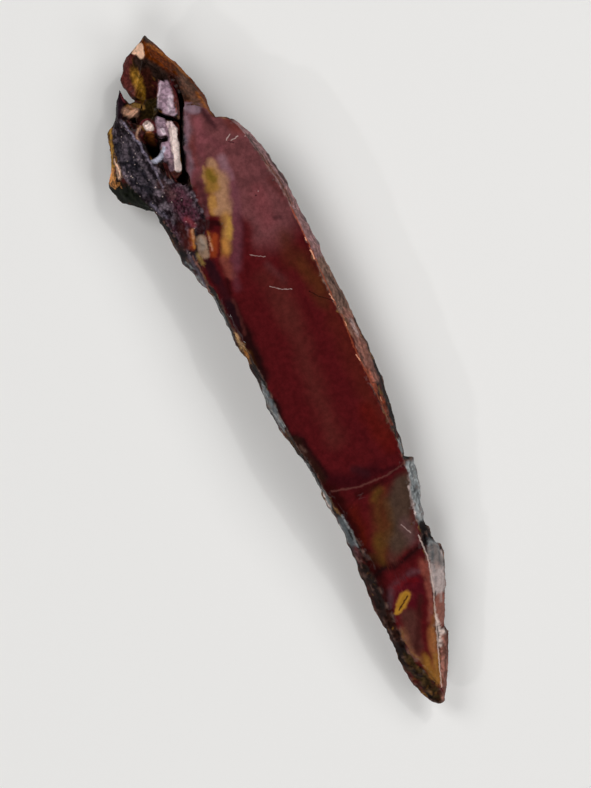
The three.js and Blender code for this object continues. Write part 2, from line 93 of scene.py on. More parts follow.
# Edges of the smooth face, in mm
FACE_OUTLINE = [
    (-86, -2.2), (-79.9, -4.3), (-71.1, -6.8), (-60.9, -10), (-52, -12.4), (-45.3, -13.4), (-38.6, -14.3),
    (-34.9, -15.6), (-29.8, -16.6), (-23.2, -17.1), (-10.7, -16.8), (2.5, -17.2), (13.7, -16.5),
    (29.6, -16.9), (37.8, -16.4), (46.6, -15.2), (54.3, -13.9), (59.4, -12.2), (61.1, -8.7), (62.2, -8.8),
    (63.8, -8.7), (64.7, -7.8), (66.2, -6.2), (67, -3.7), (63.5, -2.4), (60.2, -1.2), (56.9, 0), (53.7, 1.2),
    (51.2, 2), (49.3, 2.3), (46.5, 2.3), (42.7, 2.2), (40.6, 2.2), (38.6, 3.3), (36.1, 4.7), (34, 6.6),
    (31.5, 8.4), (28.9, 8.2), (23.5, 7.1), (14.8, 6.9), (7.4, 5.9), (-0.4, 5.1), (-10.7, 5.2), (-17.2, 4.4),
    (-22.7, 3.4), (-29.8, 2.7), (-38.4, 1.4), (-44, 0.4), (-52, 0.5), (-60, 0.5), (-70.9, 0.1), (-75.2, -0.5),
    (-78.3, -1.7), (-81.2, -2.8), (-84, -2.9),
]
# The druzy crust of small crystals, left of the smooth face
CRUST_OUTLINE = [
    (32, 9.2), (34, 6.6), (36.1, 4.7), (38.6, 3.3), (40.6, 2.2), (46.5, 2.3), (49.4, 3.2), (50.4, 5),
    (54.4, 7.6), (57.7, 8.7), (63.1, 9.3), (66.2, 10), (69.4, 10.9), (70.2, 12.6), (69.7, 13.7), (67.2, 14.5),
    (63.9, 15.5), (60.3, 16.1), (57.1, 16.2), (54.9, 15.4), (52.5, 14.7), (48.9, 13.5), (45.5, 12),
    (41.4, 10.7), (36, 9.8),
]
# The line across the face where it steps down towards the tip
STEP_LINE = [
    (-37.4, 1.6), (-34.6, 0.5), (-32.7, -3.3), (-32.9, -5), (-31.9, -8.2), (-31.2, -11.3), (-30.6, -13),
    (-29.4, -16.4),
]
# The face's edge beside the long crack, from the craggy end down
CRACK_EDGE = [(67.5, -3.9), (50.5, 2.2)]
# Sloping fillings of the deep hole, of the long crack's ends and of the hollow beside the lump, as
# (top, foot, reach, top height, foot height)
RAMPS = [
    ((64.5, 6.1), (59.6, 7.9), 3.2, 13.4, 8.5),
    ((74.2, -4), (70, -3.5), 1.2, 14.4, 12.8),
    ((70, -3.5), (67, -3.1), 1.2, 12.8, 8.5),
    ((52.8, 5.2), (50.6, 2.6), 1.3, 13, 12.4),
    ((70, 3.4), (68.2, 6.2), 2, 12.4, 11.4),
]
# Flakes that stand out of the right side, as (start and end along the stone, how far they stand out)
FLAKES = [(-29.2, -43.5, 0.8), (-50.6, -64, 0.8), (-64, -84, 0.6)]
# The smooth chalcedony pocket in the crust, as radius, fade and middle line
POCKET = (1.5, 0.6, [(36.4, 5.4), (33.2, 6.1)])
# Small pits of the face, as (x, y, radius, depth)
FACE_PITS = [
    (60.4, -9.8, 0.5, 0.3), (58.6, -12, 0.4, 0.25), (47, -16.1, 0.4, 0.2), (41.6, -10.9, 0.5, 0.3),
    (44.3, -7.8, 0.3, 0.15), (48.4, -12.3, 0.3, 0.15), (45.1, -10.8, 0.3, 0.15), (36.8, -11.6, 0.7, 0.12),
    (-3.9, -6.3, 0.4, 0.1), (-20.9, -9.6, 0.4, 0.1), (37.2, -0.5, 0.5, 0.4),
]


def linear(code):
    """A colour written as six hex digits, as it looks on screen, in the linear values that shaders take."""
    shares = [int(code[i : i + 2], 16) / 255 for i in (0, 2, 4)]
    return [s / 12.92 if s <= 0.04045 else ((s + 0.055) / 1.055) ** 2.4 for s in shares]


def tone(name, code, description):
    """A colour property."""
    return FloatVectorProperty(
        name=name, description=description, subtype="COLOR", size=3, min=0, max=1, default=linear(code)
    )


def length(name, millimetres, description):
    """A length property, given in millimetres and kept in metres."""
    return FloatProperty(
        name=name, description=description, subtype="DISTANCE", unit="LENGTH", min=0, default=millimetres * MM
    )


def from_photo(right, down):
    """The place on the stone, in millimetres, of a pixel of the photo."""
    right = (right - PHOTO_MIDDLE[0]) / PHOTO_SCALE
    down = (down - PHOTO_MIDDLE[1]) / PHOTO_SCALE
    x = -right * math.sin(LEAN) - down * math.cos(LEAN)
    y = down * math.sin(LEAN) - right * math.cos(LEAN)
    return x, y


def on_stone(marks):
    """The marks in millimetres instead of the photo's pixels."""
    for name, strength, radius, fade, points in marks:
        places = [from_photo(*point) for point in points]
        yield name, strength, radius / PHOTO_SCALE, fade / PHOTO_SCALE, places


class JasperShape(bpy.types.PropertyGroup):
    """Sizes of the stone's fine relief."""

    voxel: length("Voxel", 0.22, "Width of the cells in which the solid and its crystals are fused")
    triangles: IntProperty(
        name="Triangles",
        description="How many triangles the finished stone has at most",
        default=196000,
        min=1000,
    )
    grain_spacing: length("Crystal spacing", 0.75, "Least distance between two crystals of the crust")
    grain_size: length("Crystal size", 0.55, "Radius of the largest crystals of the crust")
    chip_size: length("Chip size", 4.2, "Width of the larger flake scars on the broken sides")
    chip_depth: length("Chip depth", 0.55, "Depth of the larger flake scars")
    chip_rise: length("Chip rise", 0.55, "How far the ridges between the flake scars stand out of the solid")
    evenness: FloatProperty(
        name="Evenness",
        description="How much the craggy end and the face keep their short edges",
        default=2e-6,
        min=0,
    )
    lip_shift: length("Lip shift", 0.7, "How far the face's edge beside the long crack leans over the crack")
    step_drop: length("Step", 0.35, "Height of the step across the smooth face")


class JasperColours(bpy.types.PropertyGroup):
    """Colours of the wet jasper."""

    wine: tone("Wine", "4d1215", "Ground of the smooth face")
    deep_wine: tone("Deep wine", "300b10", "Darkest parts of the face beside the streak and above the step")
    deep_red: tone("Deep red", "2c0a0a", "Left part of the face below the step")
    warm_red: tone("Warm red", "58130f", "Glowing red at the lower right of the face")
    dark_ring: tone("Dark ring", "4c1018", "Field round the ochre eye")
    ring_red: tone("Ring red", "600f14", "Bright red arc over the ochre eye")
    # Partly the stone's own colour, partly a painted reflection that lightens the upper face
    plum: tone("Plum", "683a3c", "Upper part of the smooth face")
    rosy: tone("Rosy", "7b3e42", "Warmest part of the plum field")
    plum_red: tone("Plum red", "6c3028", "Reddish upper corner of the face")
    dark_plum: tone("Dark plum", "2f161b", "Dark flecks of the plum part")
    grey_red: tone("Grey red", "54231f", "Band down the middle of the face")
    olive_brown: tone("Olive brown", "4b2215", "Warm dark field at the right rim")
    warm_brown: tone("Warm brown", "5c2f18", "Ochre cast at the right rim")
    rust_brown: tone("Rust brown", "501b15", "Right side of the face")
    rose: tone("Rose", "80444b", "Reddish edge of the face beside the crack")
    lilac_grey: tone("Lilac grey", "806872", "Patch at the upper corner of the face")
    lilac: tone("Lilac", "8a646c", "Pale flecks at the top of the streak")
    mauve: tone("Mauve", "6d3d48", "Soft edge of the streak")
    mustard: tone("Mustard", "906830", "Upper part of the ochre streak")
    light_mustard: tone("Light mustard", "a87e4a", "Left edge of the streak")
    warm_mustard: tone("Warm mustard", "a87840", "Lower part of the streak")
    bright_mustard: tone("Bright mustard", "b88c40", "Brightest part of the streak")
    olive: tone("Olive", "5a4d10", "Dark spot in the streak")
    tan_pink: tone("Tan pink", "a2785a", "Pale part of the streak")
    # Painted shade: near black in cracks, pits and dark notches
    crevice_shade: tone("Near black", "0d0808", "Cracks and dark notches")
    dark_brown_red: tone("Dark brown red", "2c0b0d", "Gap at the foot of the streak")
    rust_red: tone("Rust red", "8a391c", "Patch beside the chalcedony pocket")
    orange: tone("Orange", "c47f3c", "Rims of the pocket")
    cream: tone("Cream", "907460", "Chalcedony pocket")
    chalcedony: tone("Chalcedony", "968578", "Middle of the chalcedony pocket")
    yellow_olive: tone("Yellow olive", "8f7440", "Lower end of the pocket")
    rose_pink: tone("Rose pink", "cf9b82", "Right rim of the pocket")
    purple_black: tone("Purple black", "221016", "Patch below the streak")
    pink_red: tone("Pink red", "8a3a40", "Patch above the pocket and the right edge")
    red_orange: tone("Red orange", "561709", "Warm field below the step")
    olive_ochre: tone("Olive ochre", "53391a", "Ochre fields below the step")
    ochre_green: tone("Ochre green", "66501a", "Brightest ochre below the step")
    grey_olive: tone("Grey olive", "46342b", "Grey field below the step")
    mauve_brown: tone("Mauve brown", "5e4141", "Mauve fields of the lower face")
    mauve_grey: tone("Mauve grey", "553a40", "Crescents round the ring")
    rose_brown: tone("Rose brown", "7d4036", "Right of the ring")
    purple_brown: tone("Purple brown", "4f2b26", "Middle of the tip")
    tan_brown: tone("Tan brown", "724735", "Lower middle of the tip")
    dark_red_brown: tone("Dark red brown", "3a1816", "Dark stripe of the tip")
    orange_brown: tone("Orange brown", "965f36", "Right side of the tip")
    golden: tone("Golden", "8c6028", "Golden lower end of the tip")
    crust: tone("Crust", "1f161b", "Ground of the druzy crust")
    crust_slate: tone("Crust slate", "1e1e26", "Slate part of the crust")
    crust_red: tone("Crust red", "4a2430", "Reddish parts of the crust")
    crystal: tone("Crystal", "74666f", "Tops of the druzy crystals")
    # Its dotted lightness is partly a painted highlight
    lavender: tone("Lavender", "857c8e", "Ridge of the crust")
    slope_brown: tone("Slope brown", "5e2806", "Outer slope of the craggy end")
    slope_olive: tone("Slope olive", "3a210c", "Olive parts of the slope")
    # Painted shade: the slope's shaded band
    slope_dark: tone("Slope dark", "30211c", "Shaded band of the slope")
    slope_red: tone("Slope red", "421c14", "Reddish part of the slope")
    # Painted light: the slope's orange where the light falls on it
    lit_slope_orange: tone("Bright orange", "a8601f", "Brightest parts of the slope")
    maroon: tone("Maroon", "5c2c28", "Left wall of the peak")
    ochre: tone("Ochre", "a8782a", "Ochre band of the peak")
    bright_ochre: tone("Bright ochre", "c08c2e", "Brightest ochre, also in the eye")
    dark_ochre: tone("Dark ochre", "7c5716", "Shaded ochre, also in the eye")
    dark_maroon: tone("Dark maroon", "3c1c14", "Right of the ochre band, and the slit of the eye")
    # Pale facet of the peak, its brightness partly a painted highlight
    pale_pink: tone("Pale pink", "f0c2a4", "Pale facet of the peak")
    tooth: tone("Tooth", "281820", "Tooth at the notch")
    olive_dark: tone("Olive dark", "30240f", "Hollows between the lumps")
    lump_tan: tone("Lump tan", "c4947a", "Lump beside the tooth")
    tan: tone("Tan", "83602f", "Ochre lump and left edge of the tip")
    # Pale flecks, and painted glints and highlights on facets, pits and the sides
    pale_fleck_and_glint: tone("Pearl", "ecd4ca", "Bright facets and flecks")
    brown_wall: tone("Brown wall", "7c4620", "Wall of the hole")
    plate: tone("Plate", "9d8290", "Lilac plate and bench")
    plate_light: tone("Plate light", "d4bec8", "Bright grain of the plate")
    red_brown: tone("Red brown", "64262a", "Rims of the plate")
    bluish: tone("Bluish", "aeadbd", "Ledge in the hole")
    column: tone("Column", "fae2da", "Pale column beside the crack")
    column_top: tone("Column top", "dcc0c2", "Top of the column")
    lip: tone("Lip", "625560", "Grey lip of the crack")
    corner: tone("Corner", "14160f", "Greenish corner of the left side")
    orange_tan: tone("Orange tan", "cf8a4c", "Tan part of the left side")
    # Bruised stone of the steep sides with a painted silvery reflection; the next tone is its shaded copy
    bruised_silver_sheen: tone("Silver", "8a8e8f", "Bruised silvery facets")
    shaded_silver_sheen: tone("Silver dark", "50565a", "Shaded silvery facets")
    gold_tan: tone("Gold tan", "c09463", "Tan spot of the left edge")
    amber: tone("Amber", "9a6124", "Amber streak of the left edge")
    side_black: tone("Side black", "120b0b", "Darkest parts of the sides")
    side_brown: tone("Side brown", "271510", "Lower left side")
    tip_olive: tone("Tip olive", "3c2d1a", "Side of the tip")
    # Partly a painted reflection on the upper right side
    mauve_side: tone("Mauve side", "8c6868", "Upper right side")
    grey_brown: tone("Grey brown", "73564a", "Middle of the right side")
    pink_brown: tone("Pink brown", "8c5c50", "Pink streaks of the right side")
    # Partly a painted reflection on the flakes
    pink_grey: tone("Pink grey", "b7a6a2", "Lower flake of the right side")
    # Painted highlight: the thin copper glow along the right side's rim, and its brightest spots
    copper_highlight: tone("Copper", "a24e34", "Thin glowing rim of the right side")
    bright_copper_highlight: tone("Bright copper", "f6ac88", "Brightest parts of that rim")
    # Pale scratches, and painted glint lines
    pale_scratch_and_glint: tone("Pale line", "b59a94", "Fine pale scratches")
    # Painted highlight along the edge of the step
    step_highlight: tone("Step edge", "6a403a", "Edge of the step across the face")
    broken: tone("Broken", "1c1110", "Ground of the broken sides")
    broken_red: tone("Broken red", "451b19", "Reddish parts of the broken sides")
    broken_ochre: tone("Broken ochre", "6e4a1e", "Ochre parts of the broken sides")
    # Bruised edges, lighter partly as a painted highlight
    edge: tone("Edge", "7e5e54", "Thin bruised edges between the chips")


# Colour marks, painted in this order: (tone, strength, radius, fade, points of the line they follow). They
# were placed on the photo, so their radii, fades and points are in its pixels, right and down.
FACE_MARKS = [
    # The upper face: plum, lightened partly as a painted reflection
    ("plum", 1, 34, 30, [(212, 118), (255, 185), (266, 213)]),
    ("wine", 0.9, 8, 11, [(243, 226), (247, 250), (256, 280)]),
    ("deep_wine", 0.6, 2.5, 6, [(240, 218), (243, 232), (240, 262)]),
    ("rosy", 0.6, 7, 14, [(258, 192), (266, 224)]),
    ("plum_red", 0.6, 6, 8, [(230, 121), (239, 130)]),
    ("mauve_brown", 0.25, 4, 9, [(268, 266), (283, 281)]),
    ("olive_brown", 0.7, 7, 18, [(286, 238), (292, 262)]),
    ("olive_brown", 0.8, 8, 16, [(302, 258), (326, 302)]),
    ("warm_brown", 0.6, 4, 15, [(300, 266), (321, 290)]),
    ("grey_red", 0.7, 8, 22, [(284, 290), (308, 370), (334, 438)]),
    ("grey_red", 0.6, 8, 20, [(264, 278), (292, 322)]),
    ("rust_brown", 0.8, 10, 20, [(336, 318), (368, 390), (385, 430)]),
    ("warm_red", 0.7, 8, 14, [(366, 412), (390, 448)]),
    ("deep_wine", 0.8, 6, 12, [(296, 440), (316, 478)]),
    ("deep_wine", 0.8, 8, 14, [(322, 480), (350, 482), (392, 464)]),
    ("dark_plum", 0.5, 4, 7, [(352, 470), (367, 473)]),
    ("lilac_grey", 0.9, 5, 5, [(187, 108), (198, 110)]),
    ("lilac_grey", 0.7, 3, 9, [(188, 118), (189, 150), (191, 186)]),
    ("dark_plum", 0.75, 2.5, 4, [(204, 112), (209, 121), (214, 129)]),
    ("rose", 0.6, 4, 9, [(199, 124), (203, 140), (201, 156)]),
    ("rose", 0.5, 4, 6, [(197, 156), (198, 172), (196, 184)]),
    ("plum_red", 0.5, 3, 8, [(193, 140), (196, 165)]),
    ("rose", 0.4, 4, 8, [(207, 140), (222, 150)]),
    ("plum", 0.9, 4, 6, [(199, 158), (202, 190), (206, 216)]),
    # Painted shade along the left side, which faces away from the light
    ("side_black", 0.85, 6.4, 9, [(230, 306), (240, 326), (250, 346), (258, 364), (263, 378)]),
    ("side_black", 0.85, 2.6, 5, [(262, 378), (272, 398), (282, 420), (292, 440)]),
    ("side_brown", 0.9, 6, 5, [(296, 444), (308, 462), (318, 480)]),
    ("side_black", 0.7, 2, 4, [(302, 440), (314, 458), (326, 478)]),
    ("deep_wine", 0.6, 2.5, 5, [(201, 186), (204, 202), (206, 218)]),
    ("dark_plum", 0.5, 2, 3.5, [(273, 219), (280, 217)]),
    ("rust_brown", 0.4, 4, 7, [(272, 180), (283, 198)]),
    ("deep_red", 1, 12, 9, [(326, 494), (344, 520), (361, 556), (383, 606)]),
    ("deep_red", 0.7, 4, 6, [(356, 492), (374, 486)]),
    ("grey_olive", 1, 13, 12, [(405, 486), (400, 508), (400, 538)]),
    ("wine", 0.9, 4, 6, [(384, 464), (402, 456)]),
    # Painted shadow beneath the step
    ("dark_brown_red", 0.6, 2, 6, [(378, 486), (400, 474)]),
    ("olive_dark", 0.5, 5, 9, [(374, 556), (384, 566)]),
    ("red_orange", 0.6, 4, 12, [(356, 508), (361, 524), (366, 542)]),
    ("olive_ochre", 0.6, 5, 15, [(380, 494), (377, 514), (382, 542)]),
    ("ochre_green", 0.35, 4, 12, [(379, 540), (385, 562)]),
    ("ochre_green", 0.3, 3, 8, [(379, 492), (375, 500)]),
    ("mauve_brown", 0.7, 6, 14, [(404, 524), (412, 540)]),
    ("olive_ochre", 0.45, 4, 10, [(387, 504), (388, 530), (385, 552)]),
    ("grey_olive", 0.5, 5, 8, [(396, 545), (394, 558)]),
    ("dark_ring", 1, 13, 7, [(412, 588), (405, 606)]),
    ("rose_brown", 0.65, 5.4, 6, [(406.4, 597), (401.5, 608)]),
    ("mauve_grey", 0.65, 2.6, 8, [(389, 604), (392, 592), (400, 582), (410, 574), (418, 571)]),
    ("ring_red", 0.8, 2.5, 4, [(397, 588), (405, 580), (416, 583)]),
    ("rose_brown", 0.9, 3.5, 5, [(421, 562), (424, 574)]),
    ("side_black", 0.85, 3, 7, [(366, 580), (380, 573), (394, 567), (408, 558), (424, 546)]),
    ("purple_brown", 1, 8, 9, [(410, 618), (416, 648)]),
    ("tan_brown", 0.95, 3.5, 8, [(404, 633), (417, 660)]),
    ("golden", 0.5, 2, 9, [(425, 657), (428, 668)]),
    ("dark_red_brown", 0.9, 2.2, 5, [(420, 596), (419, 628), (419, 655)]),
    ("rose_brown", 0.9, 3, 6, [(427, 566), (431, 600), (431, 620)]),
    ("orange_brown", 0.85, 3.4, 10, [(434, 630), (436, 650), (441, 684)]),
    ("golden", 0.8, 4, 7, [(425, 662), (437, 686)]),
    ("tan", 0.4, 1, 2.4, [(402, 633), (413, 654), (431, 680)]),
]
FIGURE_MARKS = [
    ("lilac", 0.8, 4, 6, [(222, 160), (226, 170), (230, 178)]),
    ("mauve", 0.55, 6, 9, [(227, 176), (234, 195), (236, 225), (236, 266)]),
    ("tan_pink", 1, 4.6, 5, [(212, 164), (215, 172)]),
    ("tan_pink", 0.95, 7.5, 10, [(220, 180), (223, 206)]),
    ("mustard", 1, 6.6, 7, [(211, 175), (213, 188)]),
    ("warm_mustard", 1, 4.2, 4, [(212.5, 200), (214.5, 213)]),
    ("tan_pink", 0.8, 4, 5, [(218, 213), (228, 212)]),
    ("light_mustard", 0.6, 1.2, 2, [(204, 168), (204.5, 184)]),
    ("olive", 0.6, 3.6, 4, [(209, 175), (214, 181)]),
    ("dark_brown_red", 1, 2.4, 2.4, [(202, 223), (211, 223.5), (219, 224)]),
    ("warm_mustard", 1, 3.4, 9, [(226.5, 217), (227, 236), (226.5, 251)]),
    ("bright_mustard", 0.75, 2.4, 4, [(230, 220), (230.5, 238)]),
    ("orange", 0.45, 3.5, 6, [(225, 243), (226, 256)]),
    ("rose_brown", 0.85, 4, 8, [(225, 261), (231, 275)]),
    ("mauve", 0.35, 3, 8, [(235, 276), (238, 288)]),
    ("purple_black", 0.85, 5, 5, [(208, 263), (217, 280)]),
    ("purple_black", 0.65, 5, 7, [(221, 286), (238, 324)]),
    ("dark_brown_red", 0.8, 2.4, 4, [(227, 280), (231, 293)]),
    ("rust_red", 0.9, 3.4, 4, [(215, 238), (214, 254)]),
    ("broken_red", 0.9, 4, 6, [(181, 226), (187, 247)]),
    ("dark_brown_red", 0.6, 3, 5, [(176, 217), (181, 230)]),
    ("dark_brown_red", 0.9, 4, 4, [(201, 231), (200, 224), (211, 227)]),
    ("pink_red", 0.8, 2, 5, [(187, 219), (194, 227)]),
    ("rust_red", 0.8, 2.4, 5, [(190.5, 232), (192, 248)]),
    ("orange", 0.9, 1.2, 3, [(193, 231), (194, 247)]),
    ("rose_pink", 0.6, 0.6, 2, [(193, 230), (193.6, 239)]),
    ("cream", 1, 5, 3, [(201.5, 240), (204.5, 254)]),
    ("chalcedony", 0.9, 2.6, 4, [(201, 240), (203, 249)]),
    ("orange", 0.5, 1, 2.6, [(208.5, 233), (212.5, 248)]),
    ("rose_pink", 0.6, 0.7, 1.6, [(209.5, 238), (212.5, 251)]),
    ("yellow_olive", 0.9, 1.6, 3, [(197, 254), (202, 264)]),
    ("crevice_shade", 0.8, 0.5, 0.8, [(206.4, 240), (209, 253)]),
    ("crevice_shade", 0.8, 0.7, 0.8, [(243, 208)]),
    ("crevice_shade", 0.8, 0.6, 0.8, [(216.5, 215)]),
    ("column", 0.7, 3.8, 1.4, [(172.5, 132), (176, 150), (178.5, 169)]),
    ("lip", 0.8, 1.2, 2.6, [(189, 256), (197, 270), (205, 286)]),
    ("pink_brown", 0.8, 0.5, 0.8, [(192, 256), (199, 268), (206, 283), (212, 298)]),
    ("bruised_silver_sheen", 0.6, 0.6, 1, [(213, 296), (222, 314), (233, 338)]),
    ("maroon", 0.5, 1.4, 3, [(233, 300), (241, 318), (245, 334)]),
    # Painted highlight on the left edge
    ("edge", 0.6, 0.8, 1.4, [(231, 336), (239, 352)]),
    ("slope_olive", 0.7, 1.6, 4, [(250, 352), (256, 366)]),
    ("edge", 0.5, 1, 3, [(300, 446), (305, 451)]),
    ("shaded_silver_sheen", 0.9, 3, 2.4, [(341, 520), (347, 532), (353, 545)]),
    ("bruised_silver_sheen", 0.9, 0.8, 1.2, [(342, 516), (351, 531), (357, 546)]),
    ("side_black", 0.9, 1.4, 1.6, [(349, 531), (353, 540)]),
    ("bruised_silver_sheen", 0.9, 6.4, 2, [(434, 548), (437, 558), (439, 566)]),
    ("pink_grey", 0.85, 6.6, 5, [(437, 568), (441, 588)]),
    ("grey_brown", 0.5, 6, 3, [(434, 550), (437, 558), (439, 564)]),
    ("shaded_silver_sheen", 0.8, 1.4, 2.4, [(432, 546), (434, 562)]),
    ("shaded_silver_sheen", 0.6, 1, 1.6, [(439, 548), (442, 566)]),
    ("shaded_silver_sheen", 0.5, 0.7, 1.6, [(434, 564), (437, 584)]),
    ("pink_brown", 0.8, 5, 4, [(441, 600), (443, 622)]),
    ("rose_brown", 0.9, 1.8, 2, [(427, 562), (431, 590), (433, 612)]),
    ("orange_brown", 0.6, 1.6, 6, [(434, 618), (436, 650), (438, 662)]),
    ("golden", 0.7, 2.6, 3.4, [(437, 658), (440, 684)]),
    ("pink_grey", 0.6, 0.8, 1.6, [(441, 588), (443, 604)]),
    ("pale_fleck_and_glint", 0.9, 1.2, 1.8, [(437, 618), (441, 632), (442, 648)]),
    ("pale_fleck_and_glint", 0.8, 2.6, 2, [(445, 634)]),
    # The pale facet, partly a painted highlight
    ("pale_pink", 0.8, 3.6, 1.6, [(139.5, 46), (140.5, 53)]),
]
CRAG_MARKS = [
    ("slope_brown", 1, 13, 7, [(150, 50), (172, 64), (190, 84), (203, 108)]),
    ("slope_dark", 0.8, 2.6, 2.5, [(143, 33), (149, 43)]),
    ("slope_red", 0.8, 5, 5, [(160, 72), (174, 80)]),
    ("slope_olive", 0.8, 4, 5, [(178, 68), (192, 88)]),
    ("slope_olive", 0.8, 4, 5, [(184, 92), (196, 104)]),
    # Painted light along the slope's outer edge
    ("lit_slope_orange", 0.6, 1.8, 3, [(149, 44), (162, 52), (172, 60)]),
    ("lit_slope_orange", 0.5, 1.8, 3, [(176, 62), (186, 74)]),
    ("grey_brown", 0.45, 5, 6, [(182, 80), (204, 112)]),
    ("lit_slope_orange", 0.5, 1.8, 3, [(197, 92), (204, 104), (209, 113)]),
    # Painted shade in the band below the peak's ridge
    ("slope_dark", 1, 5.5, 5, [(137, 60), (150, 66), (163, 76), (176, 84)]),
    ("slope_dark", 0.8, 2.5, 3.5, [(176, 84), (186, 100)]),
    ("maroon", 1, 7, 4, [(124, 60), (121, 76), (130, 92)]),
    ("ochre", 0.9, 4.2, 6, [(135, 74), (138, 84), (140, 93)]),
    ("bright_ochre", 0.8, 2.2, 3.4, [(138, 78), (140, 86), (141, 94)]),
    # Painted shade under the pale facet's edge
    ("olive_dark", 0.5, 2, 3, [(134, 64), (136, 74)]),
    # Painted shade where the peak falls away right of the ochre ridge
    ("dark_maroon", 1, 4, 4, [(146, 70), (149, 98)]),
    ("dark_maroon", 0.9, 3, 4, [(172, 76), (178, 92)]),
    # The pale facet, partly a painted highlight
    ("pale_pink", 1, 3.4, 1.4, [(139.5, 46), (140.5, 54)]),
    ("pale_pink", 0.9, 2.6, 1.6, [(138, 47), (133, 51), (137.5, 52.5)]),
    ("tooth", 1, 5, 3, [(118, 88), (117, 104), (117, 122)]),
    ("pink_red", 0.5, 1, 1.6, [(119.5, 92), (123.5, 100)]),
    ("olive_dark", 1, 8, 5, [(151, 104), (147, 116)]),
    ("crevice_shade", 0.5, 3, 4, [(144, 108), (137, 114), (131, 120)]),
    ("lump_tan", 0.95, 5.4, 4, [(127, 110), (133, 112)]),
    ("orange", 0.6, 1.4, 2, [(126, 104), (131, 108)]),
    ("tan", 1, 3.2, 2.5, [(133, 103), (141, 105)]),
    ("slope_red", 0.6, 1.2, 1.6, [(126, 106), (133, 108)]),
    ("red_brown", 0.9, 5, 4, [(146, 122), (155, 129)]),
    ("pale_fleck_and_glint", 1, 4.6, 1.4, [(147.5, 125.5), (149.5, 127.5)]),
    ("lump_tan", 0.8, 1, 1.4, [(140.5, 126), (137, 133), (139, 143)]),
    ("crevice_shade", 0.9, 3, 3, [(146, 146), (150, 155)]),
    ("brown_wall", 1, 3.6, 3, [(149, 134), (152, 142)]),
    ("plate", 1, 6, 2.2, [(164, 86), (168, 110)]),
    ("plate", 1, 4, 2.2, [(162, 106), (174, 113)]),
    ("plate_light", 0.7, 2.2, 2.5, [(171, 98), (169, 110)]),
    ("plate_light", 0.6, 0.9, 1.6, [(160, 84), (159, 98), (158, 108)]),
    ("red_brown", 0.9, 1.8, 2, [(172, 82), (178, 96)]),
    ("rust_red", 0.7, 0.7, 1, [(176, 105), (177, 113)]),
    ("plate", 0.95, 4.5, 2.2, [(161, 120), (162, 134)]),
    ("plate", 0.9, 4, 3, [(165, 146), (167, 158)]),
    ("plate", 0.8, 3.4, 3, [(169, 130), (171, 150), (173, 168)]),
    ("plate_light", 1, 2.2, 1, [(162.5, 131.5), (164.5, 135)]),
    ("crevice_shade", 0.9, 1.2, 1, [(163.5, 139.5), (167, 138.5)]),
    ("bluish", 1, 1.8, 1, [(164.5, 149), (160.5, 157)]),
    ("bluish", 1, 2.6, 1, [(160.5, 157), (154, 162)]),
    ("column", 1, 3.8, 1.2, [(173, 131), (176, 150), (178.5, 169)]),
    ("column_top", 1, 3, 1.6, [(169.5, 124.5), (172.5, 129)]),
    ("purple_brown", 1, 3, 2.5, [(174, 173.5), (180, 175)]),
    ("lip", 0.9, 1.4, 2, [(186, 124), (186.5, 150), (188, 170)]),
    # Painted shade down the long crack
    ("crevice_shade", 1, 1.6, 1.3, [
        (179.5, 94), (181, 100), (182.5, 112), (183, 125),
        (183.5, 145), (185, 160), (188, 177),
    ]),
    ("crevice_shade", 1, 1, 0.8, [(159, 115), (168, 118), (179, 122)]),
]
CRUST_MARKS = [
    ("crust_slate", 0.6, 11, 9, [(124, 145), (134, 165), (146, 186)]),
    ("crust_red", 0.9, 10, 9, [(178, 196), (190, 218)]),
    ("crust_red", 0.6, 5, 8, [(165, 224), (182, 243)]),
    ("mauve_brown", 0.6, 4, 8, [(160, 184), (174, 196)]),
    ("crystal", 0.5, 3, 6, [(122, 140), (126, 156)]),
    # Ridge of the crust, partly a painted highlight
    ("lavender", 0.75, 1.2, 1.8, [(121, 119), (131, 132), (144, 152)]),
    ("lavender", 0.55, 1, 2.4, [(144, 152), (155, 170), (163, 188)]),
    ("crystal", 0.5, 1.6, 4, [(126, 136), (140, 160), (152, 180), (158, 196)]),
    ("lavender", 0.5, 1.4, 4, [(150, 203), (158, 210), (166, 217)]),
    ("crevice_shade", 0.8, 0.7, 1, [(182, 199), (184, 213)]),
    ("crevice_shade", 0.7, 0.6, 1, [(176, 204), (178, 216)]),
    ("crevice_shade", 0.7, 0.6, 1.4, [(150, 196), (158, 206), (166, 220)]),
]
